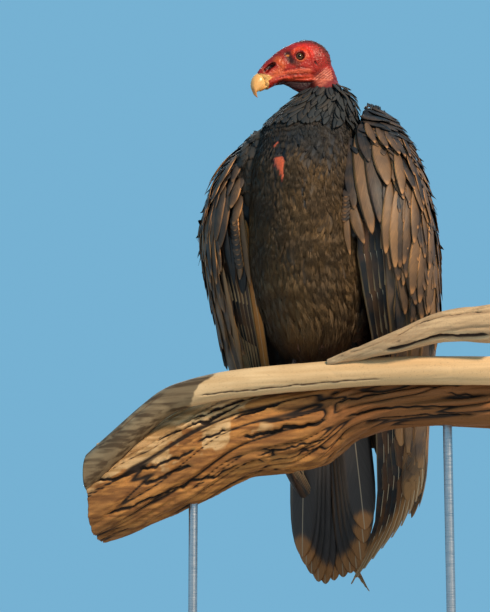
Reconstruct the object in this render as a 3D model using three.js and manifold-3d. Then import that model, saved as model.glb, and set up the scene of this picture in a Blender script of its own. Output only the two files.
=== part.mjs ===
// A turkey vulture, life size, perched on a cut length of weathered log that a
// plain display stand carries. Millimetres, +Z up; the bird faces -Y and its
// left side is +X. The origin is the middle of the base's underside.

import * as THREE from 'three';
import { mergeVertices } from 'three/addons/utils/BufferGeometryUtils.js';
import Module from 'manifold-3d';

const wasm = await Module();
wasm.setup();

// ---------------------------------------------------------------- dimensions

const GAP = 0.3; // between neighbouring solids

// The bird is drawn about its own upright axis, from a level in the belly.
const BIRD_AXIS = new THREE.Vector3(20, -50, 420);

// Trunk, cut level at its top and bottom: height, centre x and y, half width,
// half depth.
const TRUNK = [
  [-66, -2, 0, 16, 20],
  [-46, -3, 0, 36, 42],
  [-16, -4, -3, 54, 62],
  [14, -5, -7, 63, 77],
  [50, -5, -10, 67, 86],
  [100, -5, -10, 68, 88],
  [150, -6, -8, 66, 84],
  [185, -5, -3, 60, 72],
  [205, -4, 0, 55, 60],
];
const NECK_BOTTOM = 205; // the level where the feathered neck starts
const RUFF_TOP = 249; // the level where the bare skin starts
const NECK = [
  [205, -4, 0, 55, 60],
  [218, 3, -2, 48, 49],
  [232, 9, -3, 39, 39],
  [249, 13, -3, 25, 28],
];
const BARE_NECK = [
  [249, 12, -2, 17, 18],
  [262, 9, -4, 16, 17.5],
  [276, 5, -7, 15.5, 17],
  [284, 4, -9, 12, 13],
];
const TRUNK_RINGS = 12;
const NECK_RINGS = 5;
const BARE_NECK_RINGS = 6;

// The head has its own frame: x forward along the skull, y to its left and z
// up, from the middle of the braincase.
const HEAD_CENTRE = new THREE.Vector3(2.7, -12, 284.6);
const HEAD_TURN = THREE.MathUtils.degToRad(59); // to the bird's right
const HEAD_PITCH = THREE.MathUtils.degToRad(13); // bill down
// Along the skull: forward, top, bottom, half width.
const HEAD = [
  [-17.5, -2, -12, 6],
  [-15, 5, -20, 12.5],
  [-10, 11.5, -25, 16.5],
  [-3, 17, -28, 19],
  [6, 19.6, -30, 19.6],
  [16, 19.2, -31, 18.6],
  [24, 17.4, -31, 17],
  [33, 14.8, -29.5, 14.5],
  [42, 11, -28, 12],
  [51, 5.6, -27, 10],
  [58, 1.6, -26.5, 8.8],
  [63.5, -3.6, -25, 7.6],
];
const HEAD_WIDEST = 0.56; // share of the height where a section is widest
const HEAD_RINGS = 13;
const EYE_CENTRE = new THREE.Vector3(21, 11.4, -1.4);
const EYE_RADIUS = 6.6;
const EYE_SEGMENTS = 12;
const EYE_BANDS = 7;
const NOSTRIL_CENTRE = new THREE.Vector3(55.3, 0, -6.4);
const NOSTRIL_LENGTH = 9.5;
const NOSTRIL_HEIGHT = 4.6;
const NOSTRIL_SLOPE = THREE.MathUtils.degToRad(25); // front end lower
const NOSTRIL_DEPTH = 40; // it passes right through, past both cheeks
const NOSTRIL_SIDES = 9;

// Bill: along its bend, forward, top, bottom, half width, and how far the
// section leans forward at its top.
const BILL_UPPER = [
  [0, 62.5, -4, -24, 7.2, 0],
  [0.2, 68, -7.6, -26, 6.9, 0],
  [0.4, 73, -11.4, -28.6, 6.2, 0.5],
  [0.6, 76.6, -16, -30.6, 5.2, 1.4],
  [0.8, 78, -23, -33, 3.7, 2.4],
  [1, 77.6, -32.5, -37, 1.2, 2],
];
const BILL_LOWER = [
  [0, 47, -23.6, -27.6, 6.4, 0],
  [0.4, 56, -24.4, -28.6, 6, 0],
  [0.75, 65, -26.2, -30.2, 4.6, 0],
  [1, 72, -28.8, -31, 2, 0],
];
const BILL_SIDES = 10;
const BILL_RINGS = 7;

// Wings: height, then x and y of the front edge, of the outermost point and
// of the edge at the back.
const WING_LEFT = [
  [230, 58, 2, 72, 22, 60, 40],
  [206, 55, -18, 95, 20, 40, 60],
  [175, 54.5, -38, 114, 16, 22, 78],
  [140, 54.5, -53, 127, 11, 11, 87],
  [108, 53.5, -62, 134, 8, 5, 92],
  [60, 50, -60, 140, 8, 3, 95],
  [0, 56, -30, 138, 17, 3, 98],
  [-40, 60, 1, 133, 32, 4, 102],
  [-88, 60, 39, 121, 60, 7, 111],
  [-135, 61, 68, 112, 86, 14, 126],
  [-190, 60, 99, 102, 112, 22, 147],
  [-232, 50, 128, 82, 139, 20, 162],
  [-268, 28, 150, 50, 157, 12, 168],
  [-303, 3, 178, 8, 182, 1, 185],
];
const WING_RIGHT = [
  [207, -62, -4, -75, 20, -56, 44],
  [190, -66, -24, -88, 17, -40, 61],
  [160, -69, -48, -111, 13, -20, 80],
  [128, -69, -59, -126, 9, -10, 88],
  [85, -65, -61, -136, 8, -5, 93],
  [23, -63, -36, -129, 16, -4, 97],
  [-30, -65, 3, -120, 31, -4, 101],
  [-66, -66, 29, -115, 50, -5, 106],
  [-88, -65, 43, -109, 64, -5, 112],
  [-130, -56, 71, -92, 90, -6, 127],
  [-180, -38, 104, -64, 117, -2, 147],
  [-225, -20, 134, -42, 146, 6, 172],
  [-268, 2, 167, -14, 175, 14, 188],
  [-312, 22, 197, 18, 200, 25, 204],
];
const ARM_THICKNESS = 24;
const ARM_TOP_SHARE = 0.4; // share of that thickness at the shoulder's top
const ARM_SHARE_STEP = 0.3; // added to the share from ring to ring
const ARM_RINGS = 10;
const WING_EDGE_SHARE = 0.5; // share of the thickness at both edges
const SECONDARY_THICKNESS = 4.5;
const PRIMARY_THICKNESS = 4.5;
const ARM_BOTTOM = 21; // lower end of the shoulder and arm
const SECONDARY_BOTTOM = -70; // where the secondaries' free ends start
const FREE_END_ROOT = 26; // how far the free ends start inside the wing
const SECONDARY_RINGS = 6;
const SECONDARY_COUNT = 5;
const SECONDARY_FIRST = 0.34; // how far round the first and the last end lie
const SECONDARY_LAST = 0.97;
const SECONDARY_WIDTH = 30;
const SECONDARY_ENDS = 58; // free length of the longest
const SECONDARY_SHORTEST = 0.45; // share of that length
const PRIMARY_TOP = 12; // their upper end, inside the secondaries
const PRIMARY_DEPTH = 13; // under the wing's outside, beneath the secondaries
const PRIMARY_FREE = -128; // where they come out from under the secondaries
const PRIMARY_RISE = 60; // over which they reach the outside
const PRIMARY_NARROWING = 60; // length over which the tip thins
const PRIMARY_TIP_SHARE = 0.25; // share of the thickness at the tip
const PRIMARY_RINGS = 12;
const FEATHER_THICKNESS = 1.1;
// A flight feather's outline: how far along, share of its width.
const FEATHER_OUTLINE = [[0, 0.7], [0.5, 1], [0.86, 0.88], [0.96, 0.5], [1, 0.16]];

// Tail: root and tip of its middle line, and the fan.
const TAIL_ROOT = new THREE.Vector3(-2, 66, -52);
const TAIL_TIP = new THREE.Vector3(-14, 172, -300);
const TAIL_STUMP = [
  new THREE.Vector3(-3, 46, -26),
  new THREE.Vector3(-3, 66, -60),
  new THREE.Vector3(-6, 90, -125),
];
const TAIL_STUMP_RADII = [26, 23, 9];
const TAIL_COUNT = 12;
const TAIL_HALF_WIDTH_ROOT = 22;
const TAIL_HALF_WIDTH_TIP = 37;
const TAIL_FEATHER_WIDTH = 34;
const TAIL_ROUNDING = 20; // how much shorter the outer feathers are
const TAIL_LAYER = 2.4; // from one tail feather to the next one under it

// Legs, from the feathered thigh to the toes that hold the log.
const LEG_SPREAD = 31;
const THIGH_TOP = new THREE.Vector3(0, 4, 4);
const ANKLE = new THREE.Vector3(0, 56, -40);
const FOOT = new THREE.Vector3(0, 16, -76);
const THIGH_RADII = [28, 25, 9];
const THIGH_MIDDLE = 0.55; // where the middle radius applies
const THIGH_SIDES = 10;
const SHIN_START = 0.05; // how far below the ankle the shin starts
const SHIN_RADII = [6.5, 5, 6.5];
const SHIN_SIDES = 6;
const TOE_RADII = [5.2, 4.2, 3.4];
const TOE_SIDES = 5;
const TOE_DROOP = 0.12; // share of its length that a toe bends down
// Claws: distance ahead of the toe's end and below it, at the bend and tip.
const CLAW_BEND = [7.5, 1.8];
const CLAW_TIP = [12, 9.3];
const CLAW_RADII = [3, 2.3, 0.7];
// Toes: turn from straight ahead in degrees, length.
const TOES = [
  ['inner', -26, 36],
  ['middle', 0, 44],
  ['outer', 27, 38],
  ['hind', 180, 19],
];
const TOE_LEVEL = -77; // middle of the toes on top of the log

// Perch: x, centre y and z, half depth, half height.
const LOG = [
  [-250, 4, -200, 50, 60],
  [-200, 4, -183, 50, 60],
  [-135, 4, -157, 46, 61],
  [-75, 4, -137, 43, 54],
  [5, 5, -131, 41, 50],
  [45, 5, -117, 39, 35],
  [95, 4, -111, 36, 28],
  [210, 2, -115, 34, 31],
];
const LOG_RINGS = 10;
const LOG_SIDES = 16;
const LOG_RIDGES = 5; // round the log
const LOG_RIDGE_HEIGHT = 0.04; // share of its radius
const RIDGE_TWIST = 0.35; // turn of the ridges from ring to ring
const LIMB_FRONT = [
  [210, -44, -88, 15, 15.5],
  [103, -44, -83.5, 15, 15.5],
  [27, -44, -84.7, 15, 15.5],
  [-85, -44, -91, 15, 16],
  [-145, -43, -102, 16, 16],
  [-172, -42, -116, 17, 18],
  [-235, -42, -169, 16, 21],
  [-250, -43, -182, 16, 21],
];
const LIMB_SIDES = 10;
const LIMB_RIDGES = 2;
const LIMB_FRONT_RINGS = 11;
const LIMB_FRONT_RIDGE_HEIGHT = 0.03;
const LIMB_RIGHT = [
  [26, -50, -74, 4, 4],
  [60, -55, -65, 8, 7],
  [107, -60, -54.5, 13, 12],
  [151, -62, -42, 15, 16],
  [210, -62, -40, 19, 22],
];
const LIMB_RIGHT_RINGS = 7;
const LIMB_RIGHT_RIDGE_HEIGHT = 0.06;

// Stand.
const BASE_WIDTH = 400;
const BASE_DEPTH = 340;
const BASE_THICKNESS = 18;
const BASE_BEVEL = 3;
const ROD_RADIUS = 5;
const ROD_SIDES = 16;
const ROD_PLACES = { left: 165, right: -122 };
const ROD_Y = -46; // just ahead of the log's middle, clear of the tail
const ROD_IN_LOG = 16;
const ROD_IN_BASE = 10;

const RING = 18; // points round a body section
const WING_STEPS = 7; // points from the front edge to the back edge

// ------------------------------------------------------------------- helpers

// Rows of a table, blended with a smooth curve at the value of its first
// column.
function blended(table, at) {
  const rows = table[0][0] <= table[table.length - 1][0] ? table : [...table].reverse();
  const last = rows.length - 1;
  let i = 0;
  while (i < last - 1 && at > rows[i + 1][0]) i += 1;
  const span = rows[i + 1][0] - rows[i][0];
  const t = THREE.MathUtils.clamp((at - rows[i][0]) / span, 0, 1);
  const slope = (k, c) => {
    const low = Math.max(k - 1, 0);
    const high = Math.min(k + 1, last);
    return (rows[high][c] - rows[low][c]) / (rows[high][0] - rows[low][0]);
  };
  return rows[i].slice(1).map((value, k) => {
    const c = k + 1;
    const a = value;
    const b = rows[i + 1][c];
    const t2 = t * t;
    const t3 = t2 * t;
    return (2 * t3 - 3 * t2 + 1) * a + (t3 - 2 * t2 + t) * span * slope(i, c)
      + (3 * t2 - 2 * t3) * b + (t3 - t2) * span * slope(i + 1, c);
  });
}

// Evenly spaced values from one end to the other.
function spread(from, to, count) {
  return Array.from({ length: count }, (_, i) => from + ((to - from) * i) / (count - 1));
}

// A closed skin over rings of equal length. Round rings are capped with a fan
// at each end. The rings of a bent sheet run along one face and back along the
// other; they are capped with a strip, and the quads of the second face are
// split the other way, so that both faces bend alike.
function lofted(rings, sheet = false) {
  const size = rings[0].length;
  const points = rings.flat();
  const faces = [];
  for (let r = 0; r < rings.length - 1; r += 1) {
    for (let k = 0; k < size; k += 1) {
      const a = r * size + k;
      const b = r * size + ((k + 1) % size);
      if (sheet && k >= size / 2) {
        faces.push([a, b, a + size], [b, b + size, a + size]);
      } else {
        faces.push([a, b, b + size], [a, b + size, a + size]);
      }
    }
  }
  for (const r of [0, rings.length - 1]) {
    const cap = sheet ? stripCap(r * size, size) : fanCap(rings[r], r * size, points);
    faces.push(...(r === 0 ? cap.map(([a, b, c]) => [b, a, c]) : cap));
  }
  return facesOut(points, faces);
}

// Faces from a ring's edge to a new point in its middle.
function fanCap(ring, start, points) {
  const middle = new THREE.Vector3();
  ring.forEach((point) => middle.add(point));
  points.push(middle.divideScalar(ring.length));
  return ring.map((_, k) => [start + k, start + ((k + 1) % ring.length), points.length - 1]);
}

// Faces between the two halves of a bent sheet's ring.
function stripCap(start, size) {
  return Array.from({ length: size / 2 - 1 }, (_, k) => {
    const [a, b] = [start + k, start + k + 1];
    const [c, d] = [start + size - 2 - k, start + size - 1 - k];
    return [[a, b, c], [a, c, d]];
  }).flat();
}

// A geometry from points and faces, turned right side out.
function facesOut(points, faces) {
  let volume = 0;
  const cross = new THREE.Vector3();
  for (const [a, b, c] of faces) {
    volume += points[a].dot(cross.crossVectors(points[b], points[c]));
  }
  const index = faces.flatMap(([a, b, c]) => (volume > 0 ? [a, b, c] : [a, c, b]));
  const geometry = new THREE.BufferGeometry();
  geometry.setFromPoints(points);
  geometry.setIndex(index);
  return geometry;
}

// A geometry as a solid that can be joined and cut.
function solid(geometry) {
  const bare = geometry.clone();
  bare.deleteAttribute('normal');
  bare.deleteAttribute('uv');
  const merged = mergeVertices(bare, 1e-4);
  return new wasm.Manifold(new wasm.Mesh({
    numProp: 3,
    vertProperties: merged.attributes.position.array,
    triVerts: new Uint32Array(merged.index.array),
  }));
}

function joined(solids) {
  return solids.reduce((sum, next) => sum.add(next));
}

function cutBy(body, cutters) {
  return cutters.reduce((rest, cutter) => rest.subtract(cutter), body);
}

// The biggest piece of a solid as a geometry again.
function geometryOf(body) {
  const pieces = body.decompose();
  const biggest = pieces.reduce((a, b) => (a.volume() > b.volume() ? a : b));
  const { vertProperties, triVerts } = biggest.getMesh();
  const geometry = new THREE.BufferGeometry();
  geometry.setAttribute('position', new THREE.BufferAttribute(vertProperties, 3));
  geometry.setIndex(new THREE.BufferAttribute(triVerts, 1));
  return geometry;
}

// A level ring from centre x and y, half width and half depth.
function levelRing(z, [x, y, halfWidth, halfDepth], grow) {
  return Array.from({ length: RING }, (_, k) => {
    const angle = (2 * Math.PI * k) / RING;
    return new THREE.Vector3(
      x + (halfWidth + grow) * Math.cos(angle),
      y + (halfDepth + grow) * Math.sin(angle),
      z,
    );
  });
}

// A body lofted through level rings between two heights.
function levelBody(table, bottom, top, count, grow = 0) {
  return solid(lofted(spread(bottom, top, count)
    .map((z) => levelRing(z, blended(table, z), grow))));
}

// A round limb through points with a radius at each.
function limb(points, radii, sides = 8) {
  const curve = new THREE.CatmullRomCurve3(points);
  const steps = points.length;
  const frames = curve.computeFrenetFrames(steps, false);
  const rings = Array.from({ length: steps + 1 }, (_, i) => {
    const t = i / steps;
    const radius = blended(radii.map((r, k) => [k / (radii.length - 1), r]), t)[0];
    const centre = curve.getPointAt(t);
    return Array.from({ length: sides }, (_unused, k) => {
      const angle = (2 * Math.PI * k) / sides;
      return centre.clone()
        .addScaledVector(frames.normals[i], radius * Math.cos(angle))
        .addScaledVector(frames.binormals[i], radius * Math.sin(angle));
    });
  });
  return solid(lofted(rings));
}

// A flight feather: a thin blade with a rounded end, from root to tip, lying
// square to the given normal.
function blade(root, tip, normal, width, grow = 0) {
  const along = tip.clone().sub(root);
  const side = new THREE.Vector3().crossVectors(along, normal).normalize();
  const out = new THREE.Vector3().crossVectors(side, along).normalize();
  const rings = FEATHER_OUTLINE.map(([t, share]) => {
    const centre = root.clone().addScaledVector(along, t);
    const half = (width / 2) * share + grow;
    const thick = FEATHER_THICKNESS / 2 + grow;
    return [
      centre.clone().addScaledVector(side, half),
      centre.clone().addScaledVector(out, thick),
      centre.clone().addScaledVector(side, -half),
      centre.clone().addScaledVector(out, -thick),
    ];
  });
  return solid(lofted(rings));
}

// --------------------------------------------------------------------- trunk

function trunkSolid(grow) {
  return levelBody(TRUNK, TRUNK[0][0], NECK_BOTTOM, TRUNK_RINGS, grow);
}

function neckSolid(grow) {
  return levelBody(NECK, NECK_BOTTOM + GAP, RUFF_TOP, NECK_RINGS, grow);
}

function bareNeckSolid(grow) {
  const top = BARE_NECK[BARE_NECK.length - 1][0];
  return levelBody(BARE_NECK, RUFF_TOP + GAP, top, BARE_NECK_RINGS, grow);
}

// ---------------------------------------------------------------------- head

// Moves a shape from the head's own frame to the bird's.
const headPlace = new THREE.Matrix4()
  .makeTranslation(HEAD_CENTRE)
  .multiply(new THREE.Matrix4().makeRotationZ(-Math.PI / 2 - HEAD_TURN))
  .multiply(new THREE.Matrix4().makeRotationY(HEAD_PITCH));

function inHead(geometry) {
  return solid(geometry.applyMatrix4(headPlace));
}

// A section of the skull: egg shaped, widest above its middle.
function skullRing(forward, [top, bottom, halfWidth], grow, lean = 0, sides = RING) {
  const level = bottom + (top - bottom) * HEAD_WIDEST;
  return Array.from({ length: sides }, (_, k) => {
    const angle = (2 * Math.PI * k) / sides;
    const high = Math.sin(angle);
    const reach = (high > 0 ? top - level : level - bottom) + grow;
    return new THREE.Vector3(
      forward + lean * high,
      (halfWidth + grow) * Math.cos(angle),
      level + reach * high,
    );
  });
}

function headShell(grow) {
  const rings = spread(HEAD[0][0] - grow, HEAD[HEAD.length - 1][0], HEAD_RINGS)
    .map((forward) => skullRing(forward, blended(HEAD, forward), grow));
  return inHead(lofted(rings));
}

function eyeSolid(side, grow) {
  const ball = new THREE.SphereGeometry(EYE_RADIUS + grow, EYE_SEGMENTS, EYE_BANDS);
  ball.translate(EYE_CENTRE.x, EYE_CENTRE.y * side, EYE_CENTRE.z);
  return inHead(ball);
}

function nostrilCut() {
  const hole = new THREE.CylinderGeometry(1, 1, NOSTRIL_DEPTH, NOSTRIL_SIDES);
  hole.scale(NOSTRIL_LENGTH / 2, 1, NOSTRIL_HEIGHT / 2);
  hole.rotateY(-NOSTRIL_SLOPE);
  hole.translate(NOSTRIL_CENTRE.x, NOSTRIL_CENTRE.y, NOSTRIL_CENTRE.z);
  return inHead(hole);
}

// Bill halves: the upper one's sections lean over as the hook turns down.
function billSolid(table, grow) {
  const rings = spread(0, 1, BILL_RINGS).map((t) => {
    const [forward, top, bottom, halfWidth, lean] = blended(table, t);
    return skullRing(forward, [top, bottom, halfWidth], grow, lean, BILL_SIDES);
  });
  return inHead(lofted(rings));
}

// --------------------------------------------------------------------- wings

// A point of a folded wing: height, how far round from the front edge (0)
// over the outermost point (0.5) to the back edge (1), and how deep under the
// outside. Each half of the way is a quarter of an ellipse.
function wingPoint(table, z, u, below = 0) {
  const [frontX, frontY, outX, outY, backX, backY] = blended(table, z);
  const angle = Math.PI * u;
  const reach = outX - Math.sign(outX) * below;
  const x = u < 0.5
    ? frontX + (reach - frontX) * Math.sin(angle)
    : backX + (reach - backX) * Math.sin(angle);
  const y = u < 0.5
    ? outY + (frontY + below - outY) * Math.cos(angle)
    : outY - (backY - below - outY) * Math.cos(angle);
  return new THREE.Vector3(x, y, z);
}

// The level direction out of a wing's surface.
function wingNormal(table, z, u) {
  const step = 0.02;
  const low = Math.max(u - step, 0);
  const high = Math.min(u + step, 1);
  const along = wingPoint(table, z, high).sub(wingPoint(table, z, low));
  const side = Math.sign(table[0][1]);
  return new THREE.Vector3(along.y * side, -along.x * side, 0).normalize();
}

// A closed crescent of the wing at one height, between two depths under its
// outside, thinner at its edges.
function wingRing(table, z, depth, thickness, grow) {
  const steps = spread(0, 1, WING_STEPS);
  const share = (u) => (u < 0.5
    ? Math.min(1, WING_EDGE_SHARE + 2 * u)
    : 1 + WING_EDGE_SHARE - u);
  const outer = steps.map((u) => wingPoint(table, z, u, depth - grow));
  const inner = [...steps].reverse()
    .map((u) => wingPoint(table, z, u, depth + thickness * share(u) + grow));
  return [...outer, ...inner];
}

function armSolid(table, grow) {
  const top = table[0][0];
  const rings = spread(top, ARM_BOTTOM, ARM_RINGS).map((z, i) => {
    const fade = Math.min(1, ARM_TOP_SHARE + ARM_SHARE_STEP * i);
    return wingRing(table, z, 0, ARM_THICKNESS * fade, grow);
  });
  return solid(lofted(rings, true));
}

// Free ends of flight feathers below a wing's edge.
function freeEnds(table, { from, to, count, z, reach, width, depth, grow }) {
  return spread(from, to, count).map((u, i) => {
    const share = i / (count - 1);
    const root = wingPoint(table, z + FREE_END_ROOT, u, depth);
    const tip = wingPoint(table, z - reach(share), u, depth);
    return blade(root, tip, wingNormal(table, z, u), width, grow);
  });
}

function secondarySolid(table, grow) {
  const rings = spread(ARM_BOTTOM - GAP, SECONDARY_BOTTOM, SECONDARY_RINGS)
    .map((z) => wingRing(table, z, 0, SECONDARY_THICKNESS, grow));
  const ends = freeEnds(table, {
    from: SECONDARY_FIRST,
    to: SECONDARY_LAST,
    count: SECONDARY_COUNT,
    z: SECONDARY_BOTTOM,
    reach: (share) => SECONDARY_ENDS * THREE.MathUtils.lerp(SECONDARY_SHORTEST, 1, share),
    width: SECONDARY_WIDTH,
    depth: SECONDARY_THICKNESS / 2,
    grow,
  });
  return joined([solid(lofted(rings, true)), ...ends]);
}

// How deep the primaries lie under the wing's outside at a height.
function primaryDepth(z) {
  const below = (PRIMARY_FREE - z) / PRIMARY_RISE;
  return PRIMARY_DEPTH * (1 - THREE.MathUtils.clamp(below, 0, 1));
}

function primarySolid(table) {
  const tip = table[table.length - 1][0];
  const rings = spread(PRIMARY_TOP, tip, PRIMARY_RINGS).map((z) => {
    const narrowing = THREE.MathUtils.clamp((z - tip) / PRIMARY_NARROWING, PRIMARY_TIP_SHARE, 1);
    return wingRing(table, z, primaryDepth(z), PRIMARY_THICKNESS * narrowing, 0);
  });
  return solid(lofted(rings, true));
}

// ---------------------------------------------------------------------- tail

function tailSolid(grow) {
  const along = TAIL_TIP.clone().sub(TAIL_ROOT).normalize();
  const across = new THREE.Vector3(1, 0, 0).addScaledVector(along, -along.x).normalize();
  const back = new THREE.Vector3().crossVectors(across, along).normalize();
  if (back.y < 0) back.negate();
  const feathers = spread(-1, 1, TAIL_COUNT).map((share, i) => {
    const layer = Math.abs(i - (TAIL_COUNT - 1) / 2) + (share > 0 ? 0.5 : 0);
    const under = back.clone().multiplyScalar(-TAIL_LAYER * layer);
    const root = TAIL_ROOT.clone()
      .addScaledVector(across, share * TAIL_HALF_WIDTH_ROOT)
      .add(under);
    const tip = TAIL_TIP.clone()
      .addScaledVector(across, share * TAIL_HALF_WIDTH_TIP)
      .addScaledVector(along, -TAIL_ROUNDING * share * share)
      .add(under);
    return blade(root, tip, back, TAIL_FEATHER_WIDTH, grow);
  });
  const stump = limb(TAIL_STUMP, TAIL_STUMP_RADII.map((r) => r + grow));
  return joined([stump, ...feathers]);
}

// ---------------------------------------------------------------------- legs

function legPoint(point, side) {
  return new THREE.Vector3(side * LEG_SPREAD, point.y, point.z);
}

function thighSolid(side, grow) {
  const points = [THIGH_TOP, THIGH_TOP.clone().lerp(ANKLE, THIGH_MIDDLE), ANKLE]
    .map((point) => legPoint(point, side));
  return limb(points, THIGH_RADII.map((r) => r + grow), THIGH_SIDES);
}

// The line of one toe, from the foot's middle over the top of the log.
function toeLine(side, turn, length) {
  const angle = THREE.MathUtils.degToRad(turn) * side;
  const forward = new THREE.Vector3(Math.sin(angle), -Math.cos(angle), 0);
  const start = legPoint(new THREE.Vector3(0, FOOT.y, TOE_LEVEL), side);
  return [0, 0.5, 1].map((t) => start.clone()
    .addScaledVector(forward, length * t)
    .add(new THREE.Vector3(0, 0, -length * TOE_DROOP * t * t)));
}

function footSolid(side, grow) {
  const ankle = legPoint(ANKLE.clone().lerp(FOOT, SHIN_START), side);
  const heel = legPoint(new THREE.Vector3(0, FOOT.y, TOE_LEVEL + 1), side);
  const middle = ankle.clone().lerp(heel, 0.5);
  const shin = limb([ankle, middle, heel], SHIN_RADII.map((r) => r + grow), SHIN_SIDES);
  const toes = TOES.map(([, turn, length]) => limb(
    toeLine(side, turn, length),
    TOE_RADII.map((r) => r + grow),
    TOE_SIDES,
  ));
  return joined([shin, ...toes]);
}

function clawSolid(side, turn, length, grow = 0) {
  const line = toeLine(side, turn, length);
  const ahead = line[2].clone().sub(line[0]).setZ(0).normalize();
  const [bend, tip] = [CLAW_BEND, CLAW_TIP].map(([forward, down]) => line[2].clone()
    .addScaledVector(ahead, forward)
    .add(new THREE.Vector3(0, 0, -down)));
  const along = line[2].clone().sub(line[1]).normalize();
  const root = line[2].clone().addScaledVector(along, GAP);
  return limb([root, bend, tip], CLAW_RADII.map((r) => r + grow), TOE_SIDES);
}

// --------------------------------------------------------------------- perch

// A length of wood through upright sections across x, with shallow ridges.
function timber(table, count, sides, ridges, depth, grow = 0) {
  const first = table[0][0];
  const last = table[table.length - 1][0];
  const rings = spread(first, last, count).map((x, i) => {
    const [y, z, halfDepth, halfHeight] = blended(table, x);
    return Array.from({ length: sides }, (_, k) => {
      const angle = (2 * Math.PI * k) / sides;
      const wave = 1 + depth * Math.sin(ridges * angle + RIDGE_TWIST * i);
      return new THREE.Vector3(
        x,
        y + (halfDepth * wave + grow) * Math.cos(angle),
        z + (halfHeight * wave + grow) * Math.sin(angle),
      );
    });
  });
  return solid(lofted(rings));
}

function logSolid() {
  return timber(LOG, LOG_RINGS, LOG_SIDES, LOG_RIDGES, LOG_RIDGE_HEIGHT);
}

function frontLimbSolid(grow) {
  const height = LIMB_FRONT_RIDGE_HEIGHT;
  return timber(LIMB_FRONT, LIMB_FRONT_RINGS, LIMB_SIDES, LIMB_RIDGES, height, grow);
}

function rightLimbSolid() {
  const height = LIMB_RIGHT_RIDGE_HEIGHT;
  return timber(LIMB_RIGHT, LIMB_RIGHT_RINGS, LIMB_SIDES, LIMB_RIDGES, height);
}

// --------------------------------------------------------------------- stand

function baseSolid() {
  const outline = new THREE.Shape();
  const halfWidth = BASE_WIDTH / 2 - BASE_BEVEL;
  const halfDepth = BASE_DEPTH / 2 - BASE_BEVEL;
  outline.moveTo(-halfWidth, -halfDepth);
  outline.lineTo(halfWidth, -halfDepth);
  outline.lineTo(halfWidth, halfDepth);
  outline.lineTo(-halfWidth, halfDepth);
  const plate = new THREE.ExtrudeGeometry(outline, {
    depth: BASE_THICKNESS - 2 * BASE_BEVEL,
    bevelThickness: BASE_BEVEL,
    bevelSize: BASE_BEVEL,
    bevelSegments: 1,
  });
  plate.translate(0, 0, BASE_BEVEL);
  return solid(plate);
}

function rodSolid(x, bottom, top, grow = 0) {
  const radius = ROD_RADIUS + grow;
  const rod = new THREE.CylinderGeometry(radius, radius, top - bottom, ROD_SIDES);
  rod.rotateX(Math.PI / 2);
  rod.translate(x, ROD_Y, (top + bottom) / 2);
  return solid(rod);
}

// Where a rod ends inside the log, in the stand's frame.
function rodTop(x) {
  const [, z, , halfHeight] = blended(LOG, x - BIRD_AXIS.x);
  return BIRD_AXIS.z + z - halfHeight + ROD_IN_LOG;
}

// ------------------------------------------------------------------ assembly

const finishes = {
  plumage: { color: 0x26221f, roughness: 0.75, metalness: 0 },
  flight: { color: 0x2b2622, roughness: 0.6, metalness: 0 },
  skin: { color: 0xb5372a, roughness: 0.55, metalness: 0 },
  leg: { color: 0xa8766a, roughness: 0.6, metalness: 0 },
  bill: { color: 0xe8cf9a, roughness: 0.35, metalness: 0 },
  claw: { color: 0x2a2523, roughness: 0.4, metalness: 0 },
  eye: { color: 0x3a1d10, roughness: 0.05, metalness: 0 },
  bark: { color: 0x7a5233, roughness: 0.85, metalness: 0 },
  limb: { color: 0xb39a78, roughness: 0.8, metalness: 0 },
  base: { color: 0x3a2c22, roughness: 0.45, metalness: 0 },
  rod: { color: 0x8d9093, roughness: 0.3, metalness: 1 },
};

const model = new THREE.Group();
const bird = new THREE.Group();
const stand = new THREE.Group();
bird.position.copy(BIRD_AXIS);
model.add(bird, stand);

function place(group, name, finish, body) {
  const mesh = new THREE.Mesh(geometryOf(body), new THREE.MeshStandardMaterial(finishes[finish]));
  mesh.name = name;
  group.add(mesh);
}

const sides = { left: 1, right: -1 };
const wingTables = { left: WING_LEFT, right: WING_RIGHT };

const grownTrunk = trunkSolid(GAP);
const grownTail = tailSolid(GAP);

place(bird, 'trunk', 'plumage', trunkSolid(0));
place(bird, 'neck', 'plumage', neckSolid(0));
place(bird, 'neck_bare', 'skin', cutBy(bareNeckSolid(0), [headShell(GAP)]));
place(bird, 'tail', 'flight', cutBy(tailSolid(0), [grownTrunk]));

const lowerBill = billSolid(BILL_LOWER, 0);
place(bird, 'head', 'skin', cutBy(headShell(0), [
  nostrilCut(),
  eyeSolid(sides.left, GAP),
  eyeSolid(sides.right, GAP),
  billSolid(BILL_UPPER, GAP),
  billSolid(BILL_LOWER, GAP),
]));
place(bird, 'bill_upper', 'bill', billSolid(BILL_UPPER, 0));
place(bird, 'bill_lower', 'bill', cutBy(lowerBill, [billSolid(BILL_UPPER, GAP)]));

for (const [name, side] of Object.entries(sides)) {
  const table = wingTables[name];
  place(bird, `eye_${name}`, 'eye', eyeSolid(side, 0));
  const around = [grownTrunk, neckSolid(GAP), grownTail];
  place(bird, `wing_${name}_arm`, 'plumage', cutBy(armSolid(table, 0), around));
  place(bird, `wing_${name}_secondaries`, 'flight', cutBy(secondarySolid(table, 0), around));
  place(bird, `wing_${name}_primaries`, 'flight', cutBy(
    primarySolid(table),
    [...around, secondarySolid(table, GAP)],
  ));
  place(bird, `thigh_${name}`, 'plumage', cutBy(thighSolid(side, 0), [grownTrunk, grownTail]));
  const leg = cutBy(footSolid(side, 0), [thighSolid(side, GAP), grownTail]);
  place(bird, `foot_${name}`, 'leg', leg);
  for (const [toe, turn, length] of TOES) {
    place(bird, `claw_${name}_${toe}`, 'claw', clawSolid(side, turn, length));
  }
}

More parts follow.
